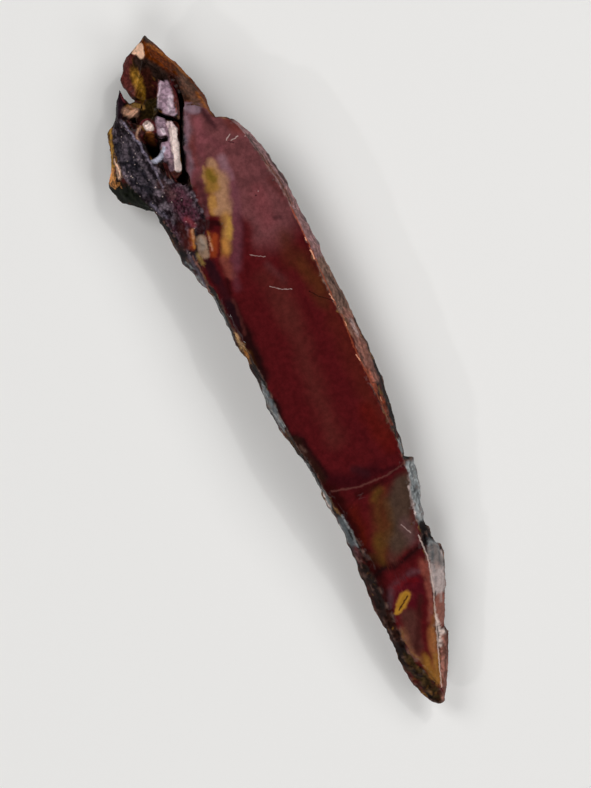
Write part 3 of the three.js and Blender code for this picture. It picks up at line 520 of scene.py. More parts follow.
SIDE_MARKS = [
    ("ochre", 1, 3.4, 3, [(107, 128), (108, 162)]),
    ("slope_dark", 0.7, 1.5, 2, [(106, 132), (106, 146)]),
    ("orange_tan", 1, 3.5, 3, [(109, 168), (109, 180)]),
    ("pale_pink", 0.8, 2.6, 3, [(116, 162), (119, 176)]),
    ("corner", 1, 9, 4, [(112, 190), (126, 193), (142, 199), (152, 208)]),
    ("orange_tan", 0.7, 1, 1.4, [(108, 184), (118, 183)]),
    # Painted shade on the left side, which faces away from the light
    ("side_black", 0.9, 4, 4, [(160, 216), (176, 240), (192, 266)]),
    # Painted silvery reflections on the left side, partly bruised stone
    ("shaded_silver_sheen", 0.6, 1.6, 2.4, [(172, 244), (186, 268)]),
    ("bruised_silver_sheen", 0.7, 1, 1.8, [(187, 262), (194, 274), (203, 288)]),
    ("bruised_silver_sheen", 0.9, 1.4, 2, [(197, 276), (206, 289), (214, 300)]),
    ("side_black", 0.9, 3, 4, [(216, 300), (226, 320), (236, 338)]),
    ("gold_tan", 1, 2.6, 2.2, [(238.5, 338), (243, 349)]),
    ("amber", 1, 1.6, 2, [(245, 351), (250, 362)]),
    ("side_black", 0.9, 4, 4, [(252, 360), (262, 384)]),
    ("pale_fleck_and_glint", 0.9, 0.8, 1, [(257.3, 367.3)]),
    ("bruised_silver_sheen", 0.85, 3.4, 3, [(262, 388), (272, 408), (284, 428)]),
    ("shaded_silver_sheen", 0.8, 1.8, 2.5, [(266, 390), (276, 414)]),
    ("side_brown", 0.9, 4, 4, [(290, 436), (306, 462)]),
    ("bruised_silver_sheen", 0.7, 1, 1.6, [(302, 459), (312, 474), (322, 490)]),
    ("bruised_silver_sheen", 0.8, 2.2, 2.4, [(323, 490), (330, 508)]),
    ("bruised_silver_sheen", 0.9, 3.2, 3, [(341, 524), (349, 541)]),
    ("pale_fleck_and_glint", 0.7, 0.5, 0.9, [(321, 490), (330, 508), (341, 528)]),
    ("mauve_grey", 0.5, 2.6, 3, [(353, 545), (359, 560)]),
    ("side_brown", 1, 9, 6, [(364, 574), (378, 605), (398, 642)]),
    ("side_black", 0.5, 3, 4, [(366, 570), (380, 600)]),
    ("tip_olive", 1, 6, 5, [(408, 662), (430, 690), (442, 702)]),
    # Partly a painted reflection on the upper right side
    ("mauve_side", 1, 7.5, 5, [(240, 122), (272, 162), (298, 208), (322, 258)]),
    ("side_brown", 0.7, 1.2, 1.6, [(247, 134), (256, 150), (266, 164)]),
    ("slope_brown", 0.7, 1.6, 2, [(262, 156), (278, 178), (292, 204)]),
    ("side_black", 0.7, 1.5, 2, [(268, 152), (288, 184)]),
    ("shaded_silver_sheen", 0.7, 1.8, 2.4, [(306, 216), (320, 242)]),
    ("grey_brown", 1, 8, 4, [(323, 264), (335, 290), (347, 310)]),
    ("side_brown", 0.7, 1.2, 2, [(330, 276), (344, 300)]),
    ("pink_brown", 0.9, 4.5, 4, [(346, 312), (362, 346), (374, 378)]),
    ("pink_grey", 0.5, 1.6, 3, [(351, 320), (358, 334)]),
    ("side_black", 0.9, 2, 2, [(374, 352), (382, 378), (388, 400)]),
    ("pink_brown", 0.8, 2, 2.6, [(355, 348), (368, 372)]),
    # Painted highlight on the right side
    ("copper_highlight", 0.7, 1.6, 2.4, [(366, 368), (377, 390)]),
    ("rust_red", 0.7, 1.4, 2.4, [(381, 396), (392, 424)]),
    ("side_black", 0.9, 2.5, 2.5, [(388, 402), (396, 424)]),
    ("bruised_silver_sheen", 0.9, 1.6, 1.4, [(399, 440), (402, 452)]),
    ("side_black", 1, 1.6, 1.5, [(404, 457.5), (412, 460)]),
    ("bruised_silver_sheen", 1, 6.5, 3, [(412, 466), (416, 496), (420, 516)]),
    ("pink_grey", 0.8, 1.4, 1.6, [(405, 466), (409, 490), (415, 515)]),
    ("shaded_silver_sheen", 0.6, 1, 2, [(418, 486), (421, 510)]),
    ("shaded_silver_sheen", 0.7, 1, 1.4, [(411, 470), (415, 492)]),
    ("side_black", 1, 5, 2, [(425, 528), (429, 542)]),
    ("shaded_silver_sheen", 0.8, 1.4, 2, [(430, 540), (438, 556)]),
    ("pink_grey", 1, 7, 2, [(437, 556), (441, 588)]),
    ("rose_brown", 0.95, 6, 3, [(442, 600), (444, 622)]),
    ("pink_brown", 1, 4, 2.4, [(445, 640), (447, 700)]),
    ("dark_red_brown", 0.6, 0.8, 1.6, [(448, 644), (447, 694)]),
]
LINE_MARKS = [
    # Painted highlights along the right rim
    ("copper_highlight", 0.9, 0.5, 1.3, [(291, 208), (307, 241), (336, 305)]),
    ("bright_copper_highlight", 1, 0.45, 0.7, [(305, 238.5), (306.5, 241)]),
    ("bright_copper_highlight", 1, 0.5, 0.8, [(310.5, 251), (314.5, 260)]),
    ("bright_copper_highlight", 1, 0.5, 0.8, [(329.5, 294.5), (333.5, 300.7)]),
    ("bright_copper_highlight", 0.9, 0.5, 0.7, [(338.3, 306.5)]),
    ("copper_highlight", 0.7, 0.5, 1.6, [(341, 314), (353.5, 347), (386.7, 415)]),
    ("bright_copper_highlight", 0.8, 0.4, 0.7, [(345, 322), (346.5, 326)]),
    ("bright_copper_highlight", 0.8, 0.4, 0.7, [(356, 355), (360, 361)]),
    ("bright_copper_highlight", 0.7, 0.4, 0.7, [(380, 397), (381.5, 401)]),
    ("pale_scratch_and_glint", 0.7, 0.3, 0.7, [(250, 255.5), (257, 257), (265, 257.6)]),
    ("pale_scratch_and_glint", 0.8, 0.3, 0.7, [(270, 287), (280, 289.6), (292, 290)]),
    ("crevice_shade", 0.9, 0.35, 0.7, [(309, 291.5), (318, 296.5), (333, 301)]),
    # Painted glint lines on the plum part, with a painted shadow beneath them
    ("pale_scratch_and_glint", 0.9, 0.4, 0.6, [(230, 136), (226.8, 141)]),
    ("pale_scratch_and_glint", 0.9, 0.4, 0.6, [(231.5, 141.5), (238.5, 137.5)]),
    ("dark_plum", 0.8, 0.6, 1, [(229, 143), (234, 143.5)]),
    # Painted glints at a pit and on the plum part
    ("pale_fleck_and_glint", 0.9, 0.4, 0.6, [(245.5, 137.4)]),
    ("pale_fleck_and_glint", 0.8, 0.35, 0.6, [(258, 192.5)]),
    ("crevice_shade", 0.8, 0.9, 1, [(256, 196.5)]),
    ("pale_scratch_and_glint", 0.6, 0.5, 0.9, [(401, 525), (411, 533)]),
    ("ochre", 1, 4.9, 4.6, [(405.4, 598), (402, 606)]),
    ("ochre", 1, 3.3, 4.4, [(407.6, 595), (399.5, 611)]),
    ("ochre", 1, 2.3, 3.2, [(402, 606), (397.5, 614.5)]),
    ("dark_ochre", 0.4, 2.6, 3, [(406.5, 597), (400.6, 608)]),
    ("dark_maroon", 0.9, 0.7, 1, [(408, 597.5), (399.5, 611)]),
    # Painted highlight along the right edge of the tip
    ("pale_fleck_and_glint", 0.55, 0.6, 1.4, [(419, 536), (428, 556.5), (434, 588), (443, 690)]),
    # Painted highlight along the edge of the step
    ("step_highlight", 0.6, 0.8, 2, [(332, 491), (358, 487), (387, 475), (404, 463)]),
]


class Desk:
    """Adds nodes to a tree, each fed with values or with other nodes' outputs."""

    def __init__(self, tree):
        self.tree = tree

    def add(self, kind, feeds=None, **settings):
        node = self.tree.nodes.new(kind)
        for key, value in settings.items():
            setattr(node, key, value)
        for socket, value in (feeds or {}).items():
            self.feed(node.inputs[socket], value)
        return node

    def feed(self, socket, value):
        if isinstance(value, bpy.types.NodeSocket):
            self.tree.links.new(value, socket)
        else:
            socket.default_value = value

    def math(self, operation, a, b=0.0, clamp=False):
        return self.add("ShaderNodeMath", {0: a, 1: b}, operation=operation, use_clamp=clamp).outputs[0]

    def vector(self, operation, a, b=(0, 0, 0)):
        return self.add("ShaderNodeVectorMath", {0: a, 1: b}, operation=operation)

    def scaled(self, vector, factor):
        return self.add("ShaderNodeVectorMath", {0: vector, "Scale": factor}, operation="SCALE").outputs[0]

    def ramp(self, value, low, high, start=0.0, end=1.0):
        """A smooth step from start at low to end at high."""
        feeds = {0: value, 1: low, 2: high, 3: start, 4: end}
        return self.add("ShaderNodeMapRange", feeds, interpolation_type="SMOOTHSTEP").outputs[0]

    def noise(self, place, scale, detail=3.0, roughness=0.5):
        feeds = {"Vector": place, "Scale": scale, "Detail": detail, "Roughness": roughness}
        return self.add("ShaderNodeTexNoise", feeds)

    def mix(self, share, a, b, blend="MIX"):
        """A colour between a and b."""
        node = self.add("ShaderNodeMix", data_type="RGBA", blend_type=blend)
        self.feed(node.inputs["Factor"], share)
        self.feed(node.inputs[6], a)
        self.feed(node.inputs[7], b)
        return node.outputs[2]

    def attribute(self, name, part="Fac"):
        return self.add("ShaderNodeAttribute", attribute_name=name).outputs[part]

    def point_value(self, name):
        """A number kept at each point, for a Geometry Nodes tree."""
        node = self.add("GeometryNodeInputNamedAttribute", {"Name": name}, data_type="FLOAT")
        return node.outputs["Attribute"]


# Shape of the stone
def closed_copy(node):
    """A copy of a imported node's mesh with its loose triangles joined."""
    copy = bmesh.new()
    copy.from_mesh(node.data)
    bmesh.ops.remove_doubles(copy, verts=copy.verts, dist=0.001 * MM)
    return copy


def plain_mesh(piece):
    """Applies the piece's modifiers to its mesh."""
    depsgraph = bpy.context.evaluated_depsgraph_get()
    mesh = bpy.data.meshes.new_from_object(piece.evaluated_get(depsgraph))
    piece.modifiers.clear()
    old = piece.data
    piece.data = mesh
    bpy.data.meshes.remove(old)


def places(mesh):
    """The mesh's points in millimetres."""
    spots = np.zeros(len(mesh.vertices) * 3)
    mesh.vertices.foreach_get("co", spots)
    return spots.reshape(-1, 3) / MM


def move(mesh, spots):
    """Moves the mesh's points to these places in millimetres."""
    mesh.vertices.foreach_set("co", (spots * MM).ravel())
    mesh.update()


def directions(mesh):
    """The directions in which the mesh's points face."""
    normals = np.zeros(len(mesh.vertices) * 3, np.float32)
    mesh.vertex_normals.foreach_get("vector", normals)
    return normals.reshape(-1, 3)


def give(mesh, name, values):
    """Keeps one number for each point of the mesh as an attribute."""
    layer = mesh.attributes.get(name) or mesh.attributes.new(name, "FLOAT", "POINT")
    layer.data.foreach_set("value", np.ascontiguousarray(values, np.float32))


def smooth(values, low, high):
    """A smooth step from 0 at low to 1 at high."""
    share = np.clip((values - low) / (high - low), 0, 1)
    return share * share * (3 - 2 * share)


def stretches(line):
    """The straight stretches of a line, each as its two ends; a lone point is a stretch without length."""
    return zip(line[:-1] or line, line[1:] or line)


def distance(spots, line):
    """How far each spot is from a line seen from above."""
    nearest = np.full(len(spots), np.inf)
    for start, end in stretches(line):
        run = np.subtract(end, start)
        away = spots[:, :2] - start
        share = np.clip(away @ run / max(run @ run, 1e-9), 0, 1)
        nearest = np.minimum(nearest, np.linalg.norm(away - share[:, None] * run, axis=1))
    return nearest


def depth_inside(spots, outline):
    """How far each spot is inside an outline seen from above; less than 0 outside it."""
    closed = outline + outline[:1]
    x, y = spots[:, 0], spots[:, 1]
    inside = np.zeros(len(spots), bool)
    for start, end in stretches(closed):
        if start[1] != end[1]:
            crossing = start[0] + (y - start[1]) / (end[1] - start[1]) * (end[0] - start[0])
            inside ^= ((y < start[1]) != (y < end[1])) & (x < crossing)
    gap = distance(spots, closed)
    return np.where(inside, gap, -gap)


def crust_share(spots):
    """How much each spot belongs to the druzy crust: 1 inside it, 0 outside it and in its smooth pocket."""
    return smooth(depth_inside(spots, CRUST_OUTLINE), -0.4, 0.4) * (1 - cover(spots, *POCKET))


def new_tree(name, inputs):
    """A Geometry Nodes tree with a geometry going through and the named inputs."""
    tree = bpy.data.node_groups.new(name, "GeometryNodeTree")
    tree.interface.new_socket("Geometry", in_out="INPUT", socket_type="NodeSocketGeometry")
    for label, kind in inputs:
        tree.interface.new_socket(label, in_out="INPUT", socket_type=kind)
    tree.interface.new_socket("Geometry", in_out="OUTPUT", socket_type="NodeSocketGeometry")
    return tree, tree.nodes.new("NodeGroupInput"), tree.nodes.new("NodeGroupOutput")


def finish_tree(desk, given, out, geometry):
    """Ends a tree: instances made real, and the material set."""
    real = desk.add("GeometryNodeRealizeInstances", {0: geometry})
    feeds = {"Geometry": real.outputs[0], "Material": given.outputs["Material"]}
    desk.feed(out.inputs[0], desk.add("GeometryNodeSetMaterial", feeds).outputs[0])


def run_tree(piece, tree, values):
    """Applies a Geometry Nodes tree to a piece, with its inputs set by their names."""
    modifier = piece.modifiers.new(tree.name, "NODES")
    modifier.node_group = tree
    for item in tree.interface.items_tree:
        if item.in_out == "INPUT" and item.name in values:
            modifier[item.identifier] = values[item.name]
    plain_mesh(piece)


def crystal_tree():
    """Small lumpy crystals scattered over the crust, in the stone's surface."""
    tree, given, out = new_tree(
        "druzy crystals",
        [
            ("Spacing", "NodeSocketFloat"),
            ("Size", "NodeSocketFloat"),
            ("Seed", "NodeSocketInt"),
            ("Material", "NodeSocketMaterial"),
        ],
    )
    desk = Desk(tree)
    points = desk.add(
        "GeometryNodeDistributePointsOnFaces",
        {
            "Mesh": given.outputs["Geometry"],
            "Distance Min": given.outputs["Spacing"],
            "Density Max": 6e6,
            "Density Factor": desk.point_value("crust"),
            "Seed": given.outputs["Seed"],
        },
        distribute_method="POISSON",
    )
    grain = desk.add("GeometryNodeMeshIcoSphere", {"Radius": 1.0, "Subdivisions": 1})
    turns = {"Min": (0, 0, 0), "Max": (math.tau,) * 3}
    turn = desk.add("FunctionNodeRandomValue", turns, data_type="FLOAT_VECTOR")
    least, greatest = CRYSTAL_SHARES
    shares = {"Min": least, "Max": greatest, "Seed": CRYSTAL_SIZE_SEED}
    sizes = desk.add("FunctionNodeRandomValue", shares, data_type="FLOAT_VECTOR")
    grains = desk.add(
        "GeometryNodeInstanceOnPoints",
        {
            "Points": points.outputs["Points"],
            "Instance": grain.outputs[0],
            "Rotation": turn.outputs[0],
            "Scale": desk.scaled(sizes.outputs[0], given.outputs["Size"]),
        },
    )
    joined = desk.add("GeometryNodeJoinGeometry")
    tree.links.new(given.outputs["Geometry"], joined.inputs[0])
    tree.links.new(grains.outputs[0], joined.inputs[0])
    finish_tree(desk, given, out, joined.outputs[0])
    return tree


def skin_tree():
    """Flake scars cut into the broken sides, with ridges left standing between them."""
    tree, given, out = new_tree(
        "broken skin",
        [
            ("Chip size", "NodeSocketFloat"),
            ("Chip depth", "NodeSocketFloat"),
            ("Chip rise", "NodeSocketFloat"),
            ("Material", "NodeSocketMaterial"),
        ],
    )
    desk = Desk(tree)
    place = desk.add("GeometryNodeInputPosition").outputs[0]
    sway = desk.noise(place, 260.0, 2.0).outputs["Color"]
    sway = desk.scaled(desk.vector("SUBTRACT", sway, (0.5, 0.5, 0.5)).outputs[0], 1.6 * MM)
    place = desk.vector("ADD", place, sway).outputs[0]
    place = desk.vector("MULTIPLY", place, CHIP_STRETCH).outputs[0]
    cut = None
    for share, weight in CHIP_SCALES:
        width = desk.math("MULTIPLY", given.outputs["Chip size"], share)
        scale = desk.math("DIVIDE", 1.0, width)
        cell = desk.add("ShaderNodeTexVoronoi", {"Vector": place, "Scale": scale}).outputs["Distance"]
        bowl = desk.math("SUBTRACT", 1.0, desk.math("POWER", desk.math("MULTIPLY", cell, 1.25, True), 1.6))
        bowl = desk.math("MULTIPLY", bowl, weight)
        cut = bowl if cut is None else desk.math("ADD", cut, bowl)
    cut = desk.math("MULTIPLY", cut, given.outputs["Chip depth"])
    depth = desk.math("SUBTRACT", cut, given.outputs["Chip rise"])
    depth = desk.math("MULTIPLY", depth, desk.point_value("broken"))
    normal = desk.add("GeometryNodeInputNormal").outputs[0]
    offset = desk.scaled(normal, desk.math("MULTIPLY", depth, -1.0))
    moved = desk.add("GeometryNodeSetPosition", {"Geometry": given.outputs["Geometry"], "Offset": offset})
    finish_tree(desk, given, out, moved.outputs[0])
    return tree


def even_face(mesh, drop):
    """Turns the facets of the smooth face into one gently bent break, with its step and pits."""
    spots = places(mesh)
    inner = depth_inside(spots, FACE_OUTLINE)
    up = directions(mesh)[:, 2]
    sure = (inner > 1.2) & (up > 0.85)
    x, y = (spots[:, :2] / HALF_LENGTH).T
    along, across = BEND_TERMS
    terms = np.stack([x**i * y**j for i in range(along) for j in range(across)], 1)
    bend, *_ = np.linalg.lstsq(terms[sure], spots[sure, 2], rcond=None)
    height = terms @ bend
    line = np.array(STEP_LINE)
    order = np.argsort(line[:, 1])
    past = np.interp(spots[:, 1], line[order, 1], line[order, 0]) - spots[:, 0]
    height -= drop / MM * smooth(past, 0, STEP_WIDTH) * (1 - smooth(past, *STEP_END))
    groove, half_width, deep = STEP_GROOVE
    height -= deep * np.exp(-(((past - groove) / half_width) ** 2))
    for x, y, radius, depth in FACE_PITS:
        away = np.hypot(spots[:, 0] - x, spots[:, 1] - y)
        height -= depth * np.exp(-((away / radius) ** 2))
    share = smooth(inner, 0.1, 1.0) * smooth(up, 0.3, 0.7)
    spots[:, 2] += share * (height - spots[:, 2])
    move(mesh, spots)


def shelter(mesh):
    """How much of its nearby sky each point of the craggy end sees: 1 in the open, 0 deep in a crack."""
    spots = places(mesh)
    normals = directions(mesh)
    tree = BVHTree.FromPolygons([v.co for v in mesh.vertices], [p.vertices for p in mesh.polygons])
    rays = []
    for ring, count in SKY_RINGS:
        for step in range(count):
            turn = math.tau * (step + ring / 90) / count
            tilt = math.radians(ring)
            rays.append((math.sin(tilt) * math.cos(turn), math.sin(tilt) * math.sin(turn), math.cos(tilt)))
    open_share = np.ones(len(spots))
    for i in np.flatnonzero(spots[:, 0] > SKY_FROM):
        normal = Vector(normals[i])
        start = Vector(spots[i] * MM) + normal * 0.05 * MM
        turn = Vector((0, 0, 1)).rotation_difference(normal)
        free = sum(tree.ray_cast(start, turn @ Vector(ray), SKY_REACH * MM)[0] is None for ray in rays)
        open_share[i] = free / len(rays)
    return open_share


def edge_ends(mesh):
    """The two points of every edge."""
    edges = np.zeros(len(mesh.edges) * 2, np.int32)
    mesh.edges.foreach_get("vertices", edges)
    return edges.reshape(-1, 2).T


def settled(mesh, values, rounds):
    """The values of the mesh's points, evened out between neighbours."""
    a, b = edge_ends(mesh)
    count = np.bincount(np.concatenate((a, b)), minlength=len(values))
    for _ in range(rounds):
        total = np.bincount(np.concatenate((a, b)), values[np.concatenate((b, a))], len(values))
        values = 0.5 * values + 0.5 * total / count
    return values


def ridges(mesh):
    """How much each point stands out of its neighbours: above 0 on an edge, below 0 in a valley, in mm."""
    spots = places(mesh)
    a, b = edge_ends(mesh)
    total = np.zeros_like(spots)
    count = np.zeros(len(spots))
    for one, other in ((a, b), (b, a)):
        np.add.at(total, one, spots[other])
        np.add.at(count, one, 1)
    return settled(mesh, ((spots - total / count[:, None]) * directions(mesh)).sum(1), 2)


def draw_lip(mesh, shift):
    """Moves the face's edge beside the long crack towards the crack, so that the crack gets narrower."""
    spots = places(mesh)
    start, end = np.array(CRACK_EDGE, float)
    far = np.linalg.norm(end - start)
    run = (end - start) / far
    across = np.array((-run[1], run[0]))
    along = (spots[:, :2] - start) @ run
    gap = (spots[:, :2] - start) @ across
    share = smooth(along, 0, 3) * (1 - smooth(along, far - 3, far))
    share *= smooth(gap, -0.9, -0.5) * (1 - smooth(gap, 1, 4))
    spots[:, :2] -= (shift * share)[:, None] * across
    move(mesh, spots)


def fill_ramps(mesh):
    """Gives the deep hole, the long crack's ends and the hollow beside the lump walls that slope."""
    spots = places(mesh)
    for top, foot, wide, high, low in RAMPS:
        run = np.array(foot) - np.array(top)
        share = np.clip((spots[:, :2] - top) @ run / (run @ run), 0, 1)
        ramp = high + share * (low - high)
        lift = (distance(spots, [top, foot]) < wide) & (spots[:, 2] < ramp) & (spots[:, 2] > 4)
        spots[lift, 2] = ramp[lift]
    move(mesh, spots)


def push_flakes(mesh):
    """Makes the flakes of the right side stand out."""
    spots = places(mesh)
    outside = smooth(-depth_inside(spots, FACE_OUTLINE), 0, 1.5)
    outside = outside * smooth(-spots[:, 1], 2, 4) * smooth(spots[:, 2], 1, 4)
    for start, end, far in FLAKES:
        along = smooth(start - spots[:, 0], 0, 0.7) * smooth(spots[:, 0] - end, -1, 1)
        spots[:, 1] -= far * along * outside
    move(mesh, spots)


def fused_stone(shape, material):
    """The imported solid, fused with the crystals of its crust into one mesh of even cells."""
    copy = closed_copy(STONE)
    bmesh.ops.subdivide_edges(copy, edges=copy.edges, cuts=2, use_grid_fill=True)
    mesh = bpy.data.meshes.new("jasper")
    copy.to_mesh(mesh)
    copy.free()
    draw_lip(mesh, shape.lip_shift / MM)
    piece = bpy.data.objects.new("jasper_surface", mesh)
    bpy.context.scene.collection.objects.link(piece)
    give(mesh, "crust", crust_share(places(mesh)) * smooth(directions(mesh)[:, 2], 0.1, 0.4))
    run_tree(
        piece,
        crystal_tree(),
        {
            "Spacing": shape.grain_spacing,
            "Size": shape.grain_size,
            "Seed": CRYSTAL_SEED,
            "Material": material,
        },
    )
    fuse = piece.modifiers.new("fuse", "REMESH")
    fuse.mode = "VOXEL"
    fuse.voxel_size = shape.voxel
    plain_mesh(piece)
    return piece


def chip_sides(piece, shape, material):
    """Gives the broken sides their flake scars, shallower ones in the craggy end."""
    spots = places(piece.data)
    up = directions(piece.data)[:, 2]
    face = smooth(depth_inside(swayed(spots, *RIM_CHIPS), FACE_OUTLINE), -0.2, 0.8) * smooth(up, 0.5, 0.8)
    crust = crust_share(spots) * smooth(up, 0, 0.3)
    rest = 1 - smooth(spots[:, 2], 0.05, 0.6)
    crag = smooth(spots[:, 0], 46, 52) * smooth(up, -0.2, 0.2)
    give(piece.data, "broken", np.clip(1 - face - 0.7 * crust - rest, 0, 1) * (1 - 0.7 * crag))
    run_tree(
        piece,
        skin_tree(),
        {
            "Chip size": shape.chip_size,
            "Chip depth": shape.chip_depth,
            "Chip rise": shape.chip_rise,
            "Material": material,
        },
    )


def thin_out(piece, shape):
    """Thins the mesh, least where the colours are fine: in the craggy end and on the smooth face."""
    triangles = sum(len(p.vertices) - 2 for p in piece.data.polygons)
    spots = places(piece.data)
    face = smooth(depth_inside(spots, FACE_OUTLINE), -1, 0)
    dense = 0.5 * face + (1 - face) * smooth(spots[:, 0], 30, 40)
    dense *= smooth(directions(piece.data)[:, 2], -0.2, 0.2)
    row = np.floor(spots[:, :2] * MM / shape.voxel).astype(int) % FACE_ROWS
    dense[(face == 1) & (spots[:, 2] > 5) & (row == 0).all(1)] = 1
    group = piece.vertex_groups.new(name="thinned")
    for level in range(11):
        chosen = np.flatnonzero(np.round((1 - dense) * 10) == level)
        group.add(chosen.tolist(), level / 10, "REPLACE")
    thin = piece.modifiers.new("thin", "DECIMATE")
    thin.ratio = min(1.0, shape.triangles / triangles)
    thin.vertex_group = group.name
    thin.vertex_group_factor = shape.evenness
    plain_mesh(piece)


def stone_piece(shape, material):
    """The finished mesh of the stone."""
    piece = fused_stone(shape, material)
    fill_ramps(piece.data)
    even_face(piece.data, shape.step_drop)
    push_flakes(piece.data)
    chip_sides(piece, shape, material)
    thin_out(piece, shape)
    reach_out(piece.data)
    piece.data.shade_smooth()
    return piece


def reach_out(mesh):
    """Draws the stone's ends and corners, which the fusing rounded off, back out to the solid's box."""
    spots = places(mesh)
    low, high = (np.array(corner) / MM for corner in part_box("mookaite_stone"))
    for axis in range(3):
        for end, side in ((low[axis], -1), (high[axis], 1)):
            extreme = spots[:, axis].max() if side > 0 else spots[:, axis].min()
            near = smooth(side * (spots[:, axis] - extreme), -3, 0)
            spots[:, axis] += near * (end - extreme)
    move(mesh, np.clip(spots, low, high))


# Colours of the stone
def swayed(spots, step, width):
    """The spots moved about softly, so that a mark painted by them gets a natural edge."""
    shifts = [noise.noise_vector(Vector(spot) / step) for spot in spots]
    return spots + width * np.array(shifts)


def drift(spots, step, seed):
    """Soft noise from about 0 to 1 with patches as wide as the step."""
    start = Vector((seed, seed / 2, -seed))
    return np.array([noise.fractal(Vector(spot) / step + start, 1.0, 2.0, 4) for spot in spots]) * 0.5 + 0.5


def cover(spots, radius, fade, points):
    """How strongly a mark covers each spot: 1 within its radius of its line, 0 past its fade."""
    return 1 - smooth(distance(spots, points), radius - fade / 2, radius + fade / 2)


def blend(share, under, over):
    """The colour under each spot with the other one laid over it."""
    return under + share[:, None] * (over - under)


def flat(colours, name):
    """One of the jasper's colours as an array."""
    return np.array(getattr(colours, name))


def painted(spots, under, colours, marks):
    """The colours with the marks painted over them, one after another."""
    for name, strength, radius, fade, points in on_stone(marks):
        under = blend(strength * cover(spots, radius, fade, points), under, flat(colours, name))
    return under


def clouded(colour, cloud, low, high):
    """The colour made darker and brighter by patches, from the low factor to the high one."""
    return colour * (low + (high - low) * smooth(cloud, 0.25, 0.75))[:, None]


def broken_colours(spots, colours):
    """The jasper of a fresh break: dark, with reddish and ochre veins along the stone."""
    drawn_out = spots * VEIN_STRETCH
    ground = np.tile(flat(colours, "broken"), (len(spots), 1))
    veined = blend(smooth(drift(drawn_out, 2.6, 3), 0.45, 0.65), ground, flat(colours, "broken_red"))
    return blend(smooth(drift(drawn_out, 1.8, 11), 0.62, 0.72), veined, flat(colours, "broken_ochre"))


def side_colours(spots, near, broken, stand_out, colours):
    """The sides and the craggy end: marks that the breaks have worn off in places, and bruised edges
    lightened partly as a painted highlight.
    """
    shift = 3 * smooth(spots[:, 1], 0, 3) * (drift(spots, 1.8, 43) - 0.5)
    outer = painted(near + np.outer(shift, (1, 0, 0)), broken, colours, SIDE_MARKS)
    worn = smooth(drift(spots, 1.1, 41) + 0.05 * (spots[:, 2] - 9), 0.3, 0.5)
    worn = np.maximum(worn, np.maximum(smooth(-spots[:, 1], 0, 5), smooth(spots[:, 0], 38, 44)))
    outer = blend(worn, broken, outer)
    outer = clouded(outer, drift(spots * VEIN_STRETCH, 0.9, 17), 0.6, 1.4)
    # Edges that stand out are lightened: bruised stone, partly a painted highlight
    outer = blend(0.5 * smooth(stand_out, 0.015, 0.06), outer, flat(colours, "edge"))
    outer = painted(near, outer, colours, CRAG_MARKS)
    return outer * (0.65 + 0.7 * smooth(drift(spots, 0.7, 23), 0.3, 0.7))[:, None]


def crust_colours(spots, near, colours):
    """The druzy crust, with painted glints on a few crystals."""
    crust = np.tile(flat(colours, "crust"), (len(spots), 1))
    crust = blend(0.8 * smooth(drift(spots, 1.6, 5), 0.4, 0.75), crust, flat(colours, "crystal"))
    crust = painted(near, crust, colours, CRUST_MARKS)
    crust = clouded(crust, drift(spots, 0.6, 9), 0.5, 1.6)
    # Painted glints: sparse pale points laid over the crust
    return blend(smooth(drift(spots, 0.33, 29), 0.87, 0.92), crust, flat(colours, "pale_fleck_and_glint"))


def face_colours(spots, near, colours):
    """The smooth face, softly clouded, most of all in its plum part."""
    soft = swayed(near, 4.5, 0.9)
    face = painted(soft, np.tile(flat(colours, "wine"), (len(spots), 1)), colours, FACE_MARKS)
    cloud = 0.1 + 0.08 * smooth(spots[:, 0], 20, 50)
    return face * (1 + cloud * (2 * smooth(drift(spots, 1.7, 31), 0.2, 0.8) - 1))[:, None]


def stone_colours(mesh, colours):
    """The jasper's colour at each point, with shade painted in where little of the sky is seen."""
    spots = places(mesh)
    up = directions(mesh)[:, 2]
    near = swayed(swayed(spots, 1.8, 0.35), 0.5, 0.12)
    broken = broken_colours(spots, colours)
    colour = side_colours(spots, near, broken, ridges(mesh), colours)
    in_crust = smooth(depth_inside(near, CRUST_OUTLINE), -0.3, 0.3)
    colour = blend(in_crust, colour, crust_colours(spots, near, colours))
    on_face = smooth(depth_inside(swayed(near, *RIM_CHIPS), FACE_OUTLINE), -0.25, 0.15)
    colour = blend(on_face * smooth(up, 0.45, 0.7), colour, face_colours(spots, near, colours))
    colour = painted(near, colour, colours, FIGURE_MARKS)
    colour = blend(1 - smooth(up, -0.3, 0), colour, broken)
    # Painted shade: the colour is darkened in cracks and hollows that see little of the sky
    return colour * (0.25 + 0.75 * smooth(settled(mesh, shelter(mesh), 3), 0.02, 0.3))[:, None]


def mark_surface(mesh, colours):
    """Gives the mesh the colours and the numbers that the material reads."""
    spots = places(mesh)
    paint = np.ones((len(spots), 4))
    paint[:, :3] = stone_colours(mesh, colours)
    layer = mesh.attributes.new("jasper colour", "FLOAT_COLOR", "POINT")
    layer.data.foreach_set("color", paint.astype(np.float32).ravel())
    up = smooth(directions(mesh)[:, 2], 0.5, 0.75)
    give(mesh, "face", smooth(depth_inside(spots, FACE_OUTLINE), -0.2, 0.4) * up)
    give(mesh, "crust", crust_share(spots))


